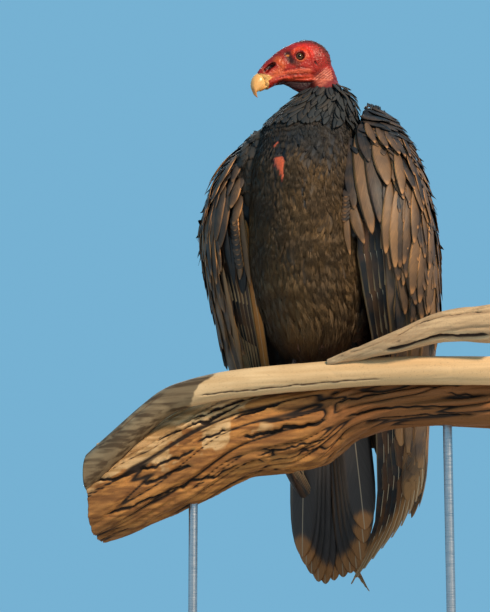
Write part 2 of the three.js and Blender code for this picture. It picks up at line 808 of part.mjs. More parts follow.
const gripped = Object.values(sides).flatMap((side) => [
  footSolid(side, GAP),
  ...TOES.map(([, turn, length]) => clawSolid(side, turn, length, GAP)),
]);
const rodsInBird = Object.values(ROD_PLACES).map((x) => rodSolid(x, 0, rodTop(x) + GAP, GAP)
  .translate([-BIRD_AXIS.x, -BIRD_AXIS.y, -BIRD_AXIS.z]));
place(bird, 'perch_log', 'bark', cutBy(logSolid(), [...gripped, frontLimbSolid(GAP), ...rodsInBird]));
place(bird, 'perch_limb_front', 'limb', cutBy(frontLimbSolid(0), gripped));
place(bird, 'perch_limb_right', 'limb', cutBy(rightLimbSolid(), [frontLimbSolid(GAP)]));

const rodHoles = Object.values(ROD_PLACES)
  .map((x) => rodSolid(x, BASE_THICKNESS - ROD_IN_BASE - GAP, BASE_THICKNESS + GAP, GAP));
place(stand, 'stand_base', 'base', cutBy(baseSolid(), rodHoles));
for (const [name, x] of Object.entries(ROD_PLACES)) {
  place(stand, `stand_rod_${name}`, 'rod', rodSolid(x, BASE_THICKNESS - ROD_IN_BASE, rodTop(x)));
}

export default model;
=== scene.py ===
"""A turkey vulture on a cut perch, held by a plain display stand.

Every length is given in millimetres from the bird's axis, and is turned into
metres in the shared frame only when a mesh is written.
"""

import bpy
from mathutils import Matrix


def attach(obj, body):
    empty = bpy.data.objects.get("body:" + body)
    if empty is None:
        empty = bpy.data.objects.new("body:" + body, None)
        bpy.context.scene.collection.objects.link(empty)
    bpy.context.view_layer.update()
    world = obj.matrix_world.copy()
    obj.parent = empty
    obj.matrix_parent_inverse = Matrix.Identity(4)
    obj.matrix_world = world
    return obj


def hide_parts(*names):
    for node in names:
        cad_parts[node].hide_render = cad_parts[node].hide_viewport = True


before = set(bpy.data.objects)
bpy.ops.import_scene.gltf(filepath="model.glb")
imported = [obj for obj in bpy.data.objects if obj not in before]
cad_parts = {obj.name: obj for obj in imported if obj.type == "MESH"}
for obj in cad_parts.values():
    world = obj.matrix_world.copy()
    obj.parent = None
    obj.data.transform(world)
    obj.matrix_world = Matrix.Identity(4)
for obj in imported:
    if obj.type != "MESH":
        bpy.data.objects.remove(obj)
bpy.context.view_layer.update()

import logging
import math
from dataclasses import dataclass, field
from enum import Enum

import bpy
import numpy as np
from mathutils import Vector

LOG = logging.getLogger("vulture")
METRES = 0.001
AXIS = np.array([20.0, -50.0, 420.0])
Array = np.ndarray
Colour = tuple[float, float, float, float]

# ------------------------------------------------------------- body tables

# Level, middle x, middle y, half width, half depth of the trunk and neck.
BODY_LEVELS = (
    (-66, -2, 0, 16, 20), (-46, -3, 0, 36, 42), (-16, -4, -3, 54, 62),
    (14, -5, -7, 63, 77), (50, -5, -10, 67, 86), (100, -5, -10, 68, 88),
    (150, -6, -8, 66, 84), (185, -5, -3, 60, 72), (205, -4, 0, 55, 60),
    (218, 3, -2, 48, 49), (232, 9, -3, 39, 39), (249, 13, -3, 25, 28),
    (262, 12, -4, 19, 21),
)
NECK_LEVELS = (
    (222, 9, -2, 22, 24), (249, 12, -2, 18, 19), (262, 9, -4, 18, 19),
    (276, 6, -7, 16, 17), (290, 3, -10, 11, 11),
)
# Level, then x and y of the front edge, the outermost line and the back edge.
WING_LEFT_LEVELS = (
    (230, 58, 2, 72, 22, 60, 40), (206, 55, -18, 95, 20, 40, 60),
    (175, 54.5, -38, 114, 16, 22, 78), (140, 54.5, -53, 127, 11, 11, 87),
    (108, 53.5, -62, 134, 8, 5, 92), (60, 50, -60, 140, 8, 3, 95),
    (0, 56, -30, 138, 17, 3, 98), (-40, 60, 1, 133, 32, 4, 102),
    (-88, 57, 39, 121, 60, 7, 111), (-135, 52, 66, 112, 86, 14, 126),
    (-190, 48, 97, 102, 112, 22, 147), (-232, 38, 128, 82, 139, 20, 162),
    (-268, 19, 150, 50, 157, 12, 168), (-303, -4, 172, 12, 182, -4, 192),
)
WING_RIGHT_LEVELS = (
    (207, -62, -4, -75, 20, -56, 44), (190, -66, -24, -88, 17, -40, 61),
    (160, -69, -48, -111, 13, -20, 80), (128, -69, -59, -126, 9, -10, 88),
    (85, -65, -61, -136, 8, -5, 93), (23, -63, -36, -129, 16, -4, 97),
    (-30, -65, 3, -120, 31, -4, 101), (-66, -66, 29, -115, 50, -5, 106),
    (-88, -65, 43, -109, 64, -5, 112), (-130, -56, 71, -92, 90, -6, 127),
    (-180, -38, 104, -64, 117, -2, 147), (-225, -20, 134, -42, 146, 6, 172),
    (-268, 2, 167, -14, 175, 14, 188), (-312, 24, 190, 8, 200, 28, 212),
)
# Forward, top, bottom and half width of the skull, in the head's own frame.
HEAD_LEVELS = (
    (-17.5, -2, -12, 6), (-15, 5, -20, 12.5), (-10, 11.5, -25, 16.5),
    (-3, 17, -28, 19), (6, 19.6, -30, 19.6), (16, 19.2, -31, 18.6),
    (24, 17.4, -31, 17), (33, 14.8, -29.5, 14.5), (42, 11, -26, 12),
    (51, 5.6, -24.4, 10), (58, 1.6, -25.2, 8.8), (63.5, -3.4, -24, 7.7),
    (66.3, -5.5, -19, 6.6), (69, -8, -14, 4.8),
)
HEAD_CENTRE = np.array([2.7, -12.0, 284.6])
HEAD_TURN = math.radians(-149.0)
HEAD_PITCH = math.radians(13.0)
HEAD_WIDEST = 0.56
EYE_CENTRE = (21.0, 11.4, -1.4)
EYE_RADIUS = 6.6
EYE_OPENING = 4.2
# Share, forward, top, bottom, half width and forward lean of the bill.
BILL_UPPER = (
    (0, 64, -9.5, -26.6, 4.6, 0), (0.2, 68, -9.2, -28.6, 6.3, 0),
    (0.4, 73, -11.4, -30.0, 6.2, 0.5), (0.6, 76.6, -16, -31.0, 5.2, 1.4),
    (0.8, 78, -23, -32.6, 3.8, 2.4), (1, 77.4, -32.4, -37.2, 0.9, 2.0),
)
BILL_LOWER = (
    (0, 52, -20.8, -23.4, 2.8, 0), (0.4, 58, -22.6, -26.4, 3.8, 0),
    (0.75, 66, -25.2, -29.4, 4.2, 0), (1, 71, -27.8, -30.6, 2.0, 0),
)
LEG_SPREAD = 31.0
THIGH_TOP = np.array([0.0, 4.0, 4.0])
ANKLE = np.array([0.0, 56.0, -40.0])
FOOT = np.array([0.0, 16.0, -76.0])
TOE_LEVEL = -77.0
TOES = (("inner", -26, 36), ("middle", 0, 44), ("outer", 27, 38), ("hind", 180, 19))
CLAW_LENGTH = 15.0
TAIL_ROOT = np.array([-2.0, 66.0, -52.0])
TAIL_TIP = np.array([-14.0, 172.0, -300.0])
# Along x, middle y and z, half depth, half height of each timber.
LOG_LEVELS = (
    (-250, 4, -200, 50, 60), (-200, 4, -183, 50, 60), (-135, 4, -157, 46, 61),
    (-75, 4, -137, 43, 54), (5, 5, -131, 41, 50), (45, 5, -117, 39, 35),
    (95, 4, -111, 36, 28), (210, 2, -115, 34, 31),
)
LIMB_FRONT_LEVELS = (
    (210, -44, -88, 15, 15.5), (103, -44, -83.5, 15, 15.5), (27, -44, -84.7, 15, 15.5),
    (-85, -44, -91, 15, 16), (-145, -43, -102, 16, 16), (-172, -42, -116, 17, 18),
    (-235, -42, -169, 16, 21), (-250, -43, -182, 16, 21),
)
LIMB_RIGHT_LEVELS = (
    (26, -50, -74, 4, 4), (60, -55, -65, 8, 7), (107, -60, -54.5, 13, 12),
    (151, -62, -42, 15, 16), (210, -62, -40, 19, 22),
)


class Side(Enum):
    """A side of the bird, with the sign of its x."""

    LEFT = 1
    RIGHT = -1

    @property
    def word(self) -> str:
        """The side's name in lower case."""
        return self.name.lower()


# ----------------------------------------------------------------- helpers


def paint(red: int, green: int, blue: int) -> Colour:
    """A linear colour from display values.

    Args:
        red, green, blue: display values from 0 to 255.

    Returns:
        The linear colour, each channel ((c + 0.055) / 1.055) to the 2.4.
    """
    linear = [
        c / 12.92 if c <= 0.04045 else ((c + 0.055) / 1.055) ** 2.4
        for c in (red / 255, green / 255, blue / 255)
    ]
    return (linear[0], linear[1], linear[2], 1.0)


def ease(low: float, high: float, value: Array) -> Array:
    """A smooth step: 3 t squared less 2 t cubed, t clamped from low to high."""
    share = np.clip((value - low) / (high - low), 0.0, 1.0)
    return share * share * (3.0 - 2.0 * share)


def lattice(cell: Array, seed: int) -> Array:
    """Hashed values from -1 to 1 at whole-numbered cells of shape (..., 3)."""
    mixed = (
        cell[..., 0] * 374761393 + cell[..., 1] * 668265263
        + cell[..., 2] * 1103515245 + seed * 144665537
    ) & 0xFFFFFFFF
    mixed = ((mixed ^ (mixed >> 13)) * 1274126177) & 0xFFFFFFFF
    return ((mixed ^ (mixed >> 16)) & 0xFFFF) / 32767.5 - 1.0


def cloud(points: Array, seed: int, octaves: int = 1) -> Array:
    """Value noise: hashed lattice values blended by an eased trilinear rule.

    Args:
        points: places of shape (n, 3), in cells.
        seed: picks the noise.
        octaves: how many times it is added at twice the detail, half as strong.

    Returns:
        Values from about -1 to 1.
    """
    total = np.zeros(len(points))
    for octave in range(octaves):
        scaled = points * 2.0**octave + 17.3 * octave
        base = np.floor(scaled).astype(np.int64)
        part = scaled - base
        part = part * part * (3.0 - 2.0 * part)
        for corner in range(8):
            step = np.array([corner & 1, (corner >> 1) & 1, corner >> 2])
            weight = np.prod(np.where(step, part, 1.0 - part), axis=1)
            total += weight * lattice(base + step, seed + octave) / 2.0**octave
    return total


@dataclass(frozen=True)
class Levels:
    """A table of sections, blended by a cubic through its rows."""

    rows: tuple

    def at(self, level: Array) -> Array:
        """The columns at each level.

        Cubic Hermite: each row's slope is that of the chord between its two
        neighbours.

        Args:
            level: values of the first column.

        Returns:
            The other columns, of shape (n, columns).
        """
        table = np.array(sorted(self.rows), dtype=float)
        knots, values = table[:, 0], table[:, 1:]
        slopes = np.empty_like(values)
        slopes[1:-1] = (values[2:] - values[:-2]) / (knots[2:] - knots[:-2])[:, None]
        slopes[0] = (values[1] - values[0]) / (knots[1] - knots[0])
        slopes[-1] = (values[-1] - values[-2]) / (knots[-1] - knots[-2])
        level = np.clip(level, knots[0], knots[-1])
        i = np.clip(np.searchsorted(knots, level) - 1, 0, len(knots) - 2)
        span = (knots[i + 1] - knots[i])[:, None]
        t = (level - knots[i])[:, None] / span
        return (
            (2 * t**3 - 3 * t**2 + 1) * values[i] + (t**3 - 2 * t**2 + t) * span * slopes[i]
            + (3 * t**2 - 2 * t**3) * values[i + 1] + (t**3 - t**2) * span * slopes[i + 1]
        )


def head_frame() -> Array:
    """The head's turn: a turn about z times a turn about y, as a 3 by 3."""
    ct, st = math.cos(HEAD_TURN), math.sin(HEAD_TURN)
    cp, sp = math.cos(HEAD_PITCH), math.sin(HEAD_PITCH)
    about_z = np.array([[ct, -st, 0], [st, ct, 0], [0, 0, 1]])
    about_y = np.array([[cp, 0, sp], [0, 1, 0], [-sp, 0, cp]])
    return about_z @ about_y


HEAD_AXES = head_frame()


def from_head(points: Array) -> Array:
    """Places in the head's frame, moved to the bird's."""
    return HEAD_CENTRE + points @ HEAD_AXES.T


def to_head(points: Array) -> Array:
    """Places in the bird's frame, moved to the head's."""
    return (points - HEAD_CENTRE) @ HEAD_AXES


# ---------------------------------------------------------------- surfaces


class Surface:
    """A surface of two parameters that feathers can be laid on."""

    steps: tuple[float, float] = (0.01, 0.5)
    hand: float = 1.0

    def point(self, u: Array, v: Array) -> Array:
        """Places on the surface, of shape (n, 3)."""
        raise NotImplementedError

    def basis(self, u: Array, v: Array) -> tuple[Array, Array, Array, Array]:
        """Place, outward normal, and how long a step of u and of v is.

        The normal is the cross product of the central differences along u and
        v, signed by the surface's hand.

        Args:
            u, v: parameters, each of shape (n,).

        Returns:
            Places, normals, lengths per u and lengths per v.
        """
        du, dv = self.steps
        along_u = (self.point(u + du, v) - self.point(u - du, v)) / (2 * du)
        along_v = (self.point(u, v + dv) - self.point(u, v - dv)) / (2 * dv)
        normal = self.hand * np.cross(along_u, along_v)
        normal /= np.linalg.norm(normal, axis=1, keepdims=True) + 1e-12
        size_u = np.maximum(np.linalg.norm(along_u, axis=1), 1e-3)
        size_v = np.maximum(np.linalg.norm(along_v, axis=1), 1e-3)
        return self.point(u, v), normal, size_u, size_v


@dataclass
class Tube(Surface):
    """An upright tube through oval levels: u is the angle, v the level."""

    levels: Levels
    inset: float = 0.0

    def point(self, u: Array, v: Array) -> Array:
        """Middle plus half width times cos u and half depth times sin u."""
        cx, cy, hw, hd = self.levels.at(v).T
        return np.stack(
            [cx + (hw - self.inset) * np.cos(u), cy + (hd - self.inset) * np.sin(u), v], 1
        )


@dataclass
class WingFace(Surface):
    """A folded wing's outside: u runs from front edge to back edge, v is the level."""

    levels: Levels
    side: Side
    inset: float = 0.0
    deep: float = 0.0

    def __post_init__(self) -> None:
        """The normal's sign follows the side."""
        self.hand = float(self.side.value)

    def point(self, u: Array, v: Array) -> Array:
        """Two quarter ovals that meet at the outermost line, at angle pi u."""
        fx, fy, ox, oy, bx, by = self.levels.at(v).T
        below = self.inset + self.deep * ease(-188, -128, v)
        reach = ox - self.side.value * below
        angle = np.pi * u
        x = np.where(u < 0.5, fx + (reach - fx) * np.sin(angle), bx + (reach - bx) * np.sin(angle))
        front = oy + (fy + below - oy) * np.cos(angle)
        back = oy - (by - below - oy) * np.cos(angle)
        return np.stack([x, np.where(u < 0.5, front, back), v], 1)


@dataclass
class Cone(Surface):
    """A round limb from one place to another: u is the angle, v the way up."""

    top: Array
    foot: Array
    radii: tuple[float, float]

    def point(self, u: Array, v: Array) -> Array:
        """Foot plus v along the axis plus the blended radius round it."""
        axis = self.top - self.foot
        length = float(np.linalg.norm(axis))
        axis = axis / length
        first = np.cross(axis, [0.0, 1.0, 0.0])
        first /= np.linalg.norm(first)
        second = np.cross(axis, first)
        radius = self.radii[1] + (self.radii[0] - self.radii[1]) * np.clip(v / length, 0, 1) ** 0.6
        ring = np.cos(u)[:, None] * first + np.sin(u)[:, None] * second
        return self.foot + v[:, None] * axis + radius[:, None] * ring


@dataclass
class Fan(Surface):
    """The flat of the tail: u is across, v is up from the tip's level."""

    root: Array
    tip: Array

    def __post_init__(self) -> None:
        """The fan's own axes."""
        self.up = (self.root - self.tip) / np.linalg.norm(self.root - self.tip)
        across = np.array([1.0, 0.0, 0.0]) - self.up[0] * self.up
        self.across = across / np.linalg.norm(across)

    def point(self, u: Array, v: Array) -> Array:
        """The root plus u across and v up, arched a little to the back."""
        out = np.cross(self.across, self.up)
        arch = -(u**2) * 0.0035
        return self.root + u[:, None] * self.across + v[:, None] * self.up + arch[:, None] * out


@dataclass
class Skull(Surface):
    """The head's outline: u is the angle round it, v is forward."""

    levels: Levels
    grow: float = 0.0

    def local(self, u: Array, v: Array) -> Array:
        """An egg-shaped section, widest above its middle, in the head's frame."""
        top, bottom, half = self.levels.at(v).T
        level = bottom + (top - bottom) * HEAD_WIDEST
        high = np.sin(u)
        reach = np.where(high > 0, top - level, level - bottom) + self.grow
        return np.stack([v, (half + self.grow) * np.cos(u), level + reach * high], 1)

    def point(self, u: Array, v: Array) -> Array:
        """The section moved to the bird's frame."""
        return from_head(self.local(u, v))


# ------------------------------------------------------------------ meshes


@dataclass
class Form:
    """Vertices in millimetres with the corners and sizes of their faces."""

    points: Array
    corners: Array
    sizes: Array
    marks: dict[str, Array] = field(default_factory=dict)
    maps: dict[str, Array] = field(default_factory=dict)
    colours: dict[str, Array] = field(default_factory=dict)

    @staticmethod
    def joined(forms: list["Form"]) -> "Form":
        """Several forms as one, each with its own faces."""
        shift = np.cumsum([0] + [len(f.points) for f in forms[:-1]])
        return Form(
            np.concatenate([f.points for f in forms]),
            np.concatenate([f.corners + s for f, s in zip(forms, shift)]),
            np.concatenate([f.sizes for f in forms]),
            *(
                {
                    key: np.concatenate([getattr(f, name)[key] for f in forms])
                    for key in getattr(forms[0], name)
                }
                for name in ("marks", "maps", "colours")
            ),
        )

    def mesh(self, name: str) -> bpy.types.Mesh:
        """The form as a mesh in metres, its maps spread over the face corners."""
        mesh = bpy.data.meshes.new(name)
        mesh.vertices.add(len(self.points))
        places = (self.points + AXIS) * METRES
        mesh.vertices.foreach_set("co", places.astype(np.float32).ravel())
        mesh.loops.add(len(self.corners))
        mesh.loops.foreach_set("vertex_index", self.corners.astype(np.int32))
        mesh.polygons.add(len(self.sizes))
        starts = np.concatenate([[0], np.cumsum(self.sizes)[:-1]])
        mesh.polygons.foreach_set("loop_start", starts.astype(np.int32))
        mesh.polygons.foreach_set("use_smooth", np.ones(len(self.sizes), dtype=bool))
        mesh.update(calc_edges=True)
        for key, values in self.marks.items():
            layer = mesh.attributes.new(key, "FLOAT", "POINT")
            layer.data.foreach_set("value", values.astype(np.float32))
        for key, values in self.colours.items():
            layer = mesh.color_attributes.new(key, "FLOAT_COLOR", "POINT")
            layer.data.foreach_set("color", values.astype(np.float32).ravel())
        for key, values in self.maps.items():
            layer = mesh.uv_layers.new(name=key)
            layer.data.foreach_set("uv", values[self.corners].astype(np.float32).ravel())
        mesh.validate()
        return mesh

    def triangles(self) -> int:
        """How many triangles the faces make."""
        return int(np.sum(self.sizes - 2))


def piece(form: Form, name: str, material: bpy.types.Material) -> bpy.types.Object:
    """A shown object from a form.

    Args:
        form: the shape, in millimetres.
        name: the piece's name.
        material: its finish.

    Returns:
        The object, riding on the root body.
    """
    mesh = form.mesh(name)
    mesh.materials.append(material)
    thing = bpy.data.objects.new(name, mesh)
    bpy.context.scene.collection.objects.link(thing)
    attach(thing, "root")
    LOG.info("%s: %d triangles", name, form.triangles())
    return thing


def lofted(rings: Array, poles: tuple[Array, Array] | None = None) -> Form:
    """A closed skin over rings, each end drawn to a pole.

    Args:
        rings: places of shape (rings, points, 3), turning left about the way on.
        poles: the end places, or the middle of each end ring.

    Returns:
        Quads between the rings and triangles at the poles.
    """
    rows, size, _ = rings.shape
    first, last = poles if poles is not None else (rings[0].mean(0), rings[-1].mean(0))
    points = np.concatenate([rings.reshape(-1, 3), [first], [last]])
    r, k = np.meshgrid(np.arange(rows - 1), np.arange(size), indexing="ij")
    a = (r * size + k).ravel()
    b = (r * size + (k + 1) % size).ravel()
    quads = np.stack([a, b, b + size, a + size], 1)
    edge = np.arange(size)
    turn = (edge + 1) % size
    start = np.stack([np.full(size, rows * size), turn, edge], 1)
    end = (rows - 1) * size
    finish = np.stack([end + edge, end + turn, np.full(size, rows * size + 1)], 1)
    corners = np.concatenate([quads.ravel(), start.ravel(), finish.ravel()])
    sizes = np.concatenate([np.full(len(quads), 4), np.full(2 * size, 3)])
    return Form(points, corners, sizes)


def pipe(line: Array, radii: Array, sides: int = 12, ends: int = 4) -> Form:
    """A round limb along a line, with rounded ends.

    The line is resampled by a cubic; each ring is square to the line.

    Args:
        line: places of shape (n, 3).
        radii: radius at each place.
        sides: points round each ring.
        ends: rings in each rounded end.

    Returns:
        The closed form.
    """
    way = np.linalg.norm(np.diff(line, axis=0), axis=1)
    knots = np.concatenate([[0], np.cumsum(way)])
    table = Levels(tuple(map(tuple, np.column_stack([knots, line, radii]))))
    total = knots[-1]
    count = max(int(total / 2.0), 8)
    level = np.linspace(0, total, count)
    values = table.at(level)
    centre, radius = values[:, :3], values[:, 3]
    ahead = np.gradient(centre, axis=0)
    ahead /= np.linalg.norm(ahead, axis=1, keepdims=True)
    guide = np.array([1.0, 0.12, 0.07]) if abs(ahead[0][0]) < 0.8 else np.array([0.1, 0.2, 1.0])
    first = np.cross(ahead, guide)
    first /= np.linalg.norm(first, axis=1, keepdims=True)
    second = np.cross(ahead, first)
    bow = np.sin(np.linspace(0.25, 1.0, ends) * np.pi / 2)
    lead = np.cos(np.linspace(0.25, 1.0, ends) * np.pi / 2)
    centre = np.concatenate([
        centre[0] - ahead[0] * (radius[0] * lead[:, None]), centre[1:-1],
        centre[-1] + ahead[-1] * (radius[-1] * lead[::-1, None]),
    ])
    radius = np.concatenate([radius[0] * bow, radius[1:-1], radius[-1] * bow[::-1]])
    first = np.concatenate([np.repeat(first[:1], ends, 0), first[1:-1], np.repeat(first[-1:], ends, 0)])
    second = np.concatenate([np.repeat(second[:1], ends, 0), second[1:-1], np.repeat(second[-1:], ends, 0)])
    angle = np.linspace(0, 2 * np.pi, sides, endpoint=False)
    rings = centre[:, None] + radius[:, None, None] * (
        np.cos(angle)[None, :, None] * first[:, None] + np.sin(angle)[None, :, None] * second[:, None]
    )
    return lofted(rings)


# --------------------------------------------------------------- templates


@dataclass(frozen=True)
class Vane:
    """One feather's blade: a thin crowned leaf of a few dozen faces.

    Half width at share s of the length: a quarter oval up to the belly, then
    one less ((s - belly) / (1 - belly)) to the power of point, to the power of
    blunt. The crown is one less the square of the way across.
    """

    belly: float = 0.45
    point: float = 2.0
    blunt: float = 0.5
    tops: int = 5
    rows: tuple = (0.1, 0.28, 0.5, 0.72, 0.88, 0.97)
    crown: float = 0.8
    thick: float = 0.7
    fringe: float = 0.0

    def outline(self, s: Array) -> Array:
        """Half width at share s, as a part of the feather's half width."""
        start = np.sqrt(np.clip(1 - (1 - np.clip(s / self.belly, 0, 1)) ** 2, 0, 1))
        fall = np.clip((s - self.belly) / (1 - self.belly), 0, 1)
        return start * np.clip(1 - fall**self.point, 0, 1) ** self.blunt

    def shape(self) -> tuple[Array, Array, Array, Array, Array]:
        """Across, along and height of each vertex, and the faces.

        Returns:
            Across in half widths, along in lengths, height in millimetres,
            face corners and face sizes.
        """
        top = np.linspace(-1, 1, self.tops)
        ring_a = np.concatenate([top, [0.5, -0.5] if self.tops > 4 else [0.0]])
        size = len(ring_a)
        s = np.repeat(np.array(self.rows), size)
        a = np.tile(ring_a, len(self.rows))
        under = np.tile(np.concatenate([np.zeros(self.tops), np.ones(size - self.tops)]), len(self.rows))
        width = np.maximum(self.outline(s), 0.12)
        x = a * width
        z = self.crown * (1 - a**2) * width - self.thick * under * (1 - 0.5 * s)
        odd = np.tile(np.concatenate([np.arange(self.tops) % 2, np.full(size - self.tops, 0.5)]), len(self.rows))
        last = s >= self.rows[-1]
        y = np.where(last, s + self.fringe * (0.5 - odd), s)
        tip = 1.0 - self.fringe * 0.3
        rings = np.stack([x, y, z], 1).reshape(len(self.rows), size, 3)
        form = lofted(rings, (np.array([0, 0, -self.thick / 2]), np.array([0, tip, -self.thick / 2])))
        return (*form.points.T, form.corners, form.sizes)


@dataclass(frozen=True)
class Tuft:
    """A fan of soft barbs from one root, each a three-sided spike."""

    spread: float = 0.9
    barbs: int = 5
    stout: float = 0.16

    def shape(self) -> tuple[Array, Array, Array, Array, Array]:
        """Across, along and height of each vertex, and the faces.

        Barb j leans by its share of the spread; the middle ones are longest.

        Returns:
            The same as a vane's shape.
        """
        forms = []
        for j, lean in enumerate(np.linspace(-1, 1, self.barbs)):
            reach = 1.0 - 0.22 * abs(lean) - 0.08 * (j % 2)
            rows = []
            for s, stout in ((0.0, 0.7), (0.45, 1.0)):
                middle = lean * self.spread * s
                half = self.stout * stout
                rows.append([
                    [middle - half, s * reach, 0.0], [middle + half, s * reach, 0.0],
                    [middle, s * reach, -0.6],
                ])
            tip = np.array([lean * self.spread * 1.15, reach, 0.1 * (j % 2)])
            rings = np.array(rows)
            root = rings[0].mean(0)
            forms.append(lofted(rings, (root, tip)))
        form = Form.joined(forms)
        return (*form.points.T, form.corners, form.sizes)


@dataclass
class Batch:
    """Feathers of one kind laid on one surface, all worked out as arrays.

    A feather runs in a straight line of the surface's parameters from its root
    to its tip. Its blade spreads square to that line, and it rises from low at
    the root to high at the tip.
    """

    surface: Surface
    u: Array
    v: Array
    tip_u: Array
    tip_v: Array
    width: Array
    low: Array
    high: Array
    tilt: Array
    bend: Array
    tone: Array
    warm: Array
    edge: Array
    curl: Array

    @staticmethod
    def rooted(
        surface: Surface, u: Array, v: Array, turn: Array, length: Array, width: Array,
        rng: np.random.Generator, **looks: float | Array,
    ) -> "Batch":
        """Feathers from their roots, ways and lengths.

        The tip is one length on: down times cos turn and round times sin turn,
        each divided by how long a step of its parameter is.

        Args:
            surface: what they lie on.
            u, v: the roots.
            turn: angle from straight down, in radians.
            length, width: in millimetres.
            rng: the source of their tones.
            looks: low, high, tilt, bend, warm, edge, curl, shade and uneven.

        Returns:
            The batch.
        """
        _, _, size_u, size_v = surface.basis(u, v)
        tip_u = u + np.sin(turn) * length / size_u
        tip_v = v - np.cos(turn) * length / size_v
        n = len(u)
        given = {
            key: np.broadcast_to(np.asarray(looks.get(key, base), float), n).copy()
            for key, base in (
                ("low", 0.0), ("high", 2.0), ("tilt", 0.0), ("bend", 0.0),
                ("warm", 0.4), ("edge", 0.3), ("curl", 0.0), ("shade", 0.0), ("uneven", 0.13),
            )
        }
        tone = np.clip(0.5 + rng.normal(0, 1, n) * given.pop("uneven") + given.pop("shade"), 0, 1)
        return Batch(surface, u, v, tip_u, tip_v, np.broadcast_to(width, n), tone=tone, **given)

    def form(self, blade: Vane | Tuft) -> Form:
        """Every feather's vertices, faces, marks and maps.

        Args:
            blade: the shape that all of them share.

        Returns:
            One form of all the feathers.
        """
        x, y, z, corners, sizes = blade.shape()
        n, m = len(self.u), len(x)
        share = np.tile(y, n)
        spread = lambda values: np.repeat(values, m)
        step_u, step_v = spread(self.tip_u - self.u), spread(self.tip_v - self.v)
        middle_u = spread(self.u) + step_u * share
        middle_v = spread(self.v) + step_v * share
        _, _, size_u, size_v = self.surface.basis(middle_u, middle_v)
        way_u, way_v = step_u * size_u, step_v * size_v
        length = np.hypot(way_u, way_v) + 1e-9
        hand = self.surface.hand
        across_u, across_v = hand * way_v / length, -hand * way_u / length
        off = np.tile(x, n) * spread(self.width) / 2 + spread(self.bend) * length * share**2
        place_u = middle_u + across_u * off / size_u
        place_v = middle_v + across_v * off / size_v
        place, normal, _, _ = self.surface.basis(place_u, place_v)
        rise = spread(self.low) + spread(self.high - self.low) * share + np.tile(z, n)
        rise += spread(self.tilt) * hand * np.tile(x, n) * spread(self.width) / 2
        rise += spread(self.curl) * length * np.maximum(share - 0.35, 0) ** 2
        points = place + normal * rise[:, None]
        marks = {k: spread(getattr(self, k)) for k in ("tone", "warm", "edge")}
        local = np.stack([0.5 + 0.5 * hand * np.tile(x, n), share], 1)
        return Form(
            points,
            (corners[None] + m * np.arange(n)[:, None]).ravel(),
            np.tile(sizes, n),
            marks,
            {"vane": local, "OFBake": self.unwrapped(local, m)},
        )

    def unwrapped(self, local: Array, each: int) -> Array:
        """A patch about 0.003 across for each feather, at its root's place.

        Args:
            local: the vane's own map, from 0 to 1.
            each: vertices in one feather.

        Returns:
            The map: the root's parameters scaled into a square with a margin,
            plus the vane's own map at a small scale.
        """
        around = np.mod(self.u / (2 * np.pi), 1.0) if isinstance(self.surface, (Tube, Cone, Skull)) else self.u
        if isinstance(self.surface, Fan):
            around = 0.5 + self.u / 90.0
        level = (self.v + 330.0) / 620.0
        root = np.clip(np.stack([around, level], 1), 0, 1) * 0.96 + 0.018
        return np.repeat(root, each, 0) + (local - 0.5) * np.array([0.003, 0.003])


def rows_of(
    surface: Surface, top: float, bottom: float, step: float, gap: float,
    rng: np.random.Generator, ends: tuple[float, float], jitter: float = 0.25,
) -> tuple[Array, Array]:
    """Roots in staggered rows, evenly spaced along each row.

    Each row's length is measured on 73 places and shared out equally; odd rows
    are shifted by half a gap.

    Args:
        surface: what they lie on.
        top, bottom: first and last level.
        step: from one row to the next.
        gap: from one root to the next, in millimetres.
        rng: the source of the jitter.
        ends: first and last u.
        jitter: how far a root may move, as a share of the gap.

    Returns:
        The roots' u and v.
    """
    places_u, places_v = [], []
    line = np.linspace(ends[0], ends[1], 73)
    for i, level in enumerate(np.arange(top, bottom, -step)):
        ring = surface.point(line, np.full(73, level))
        reach = np.concatenate([[0], np.cumsum(np.linalg.norm(np.diff(ring, axis=0), axis=1))])
        count = max(int(reach[-1] / gap), 3)
        at = (np.arange(count) + 0.25 + 0.5 * (i % 2)) * reach[-1] / count
        at += rng.uniform(-jitter, jitter, count) * gap
        places_u.append(np.interp(at, reach, line))
        places_v.append(level + rng.uniform(-jitter, jitter, count) * step)
    return np.concatenate(places_u), np.concatenate(places_v)


# --------------------------------------------------------------- materials


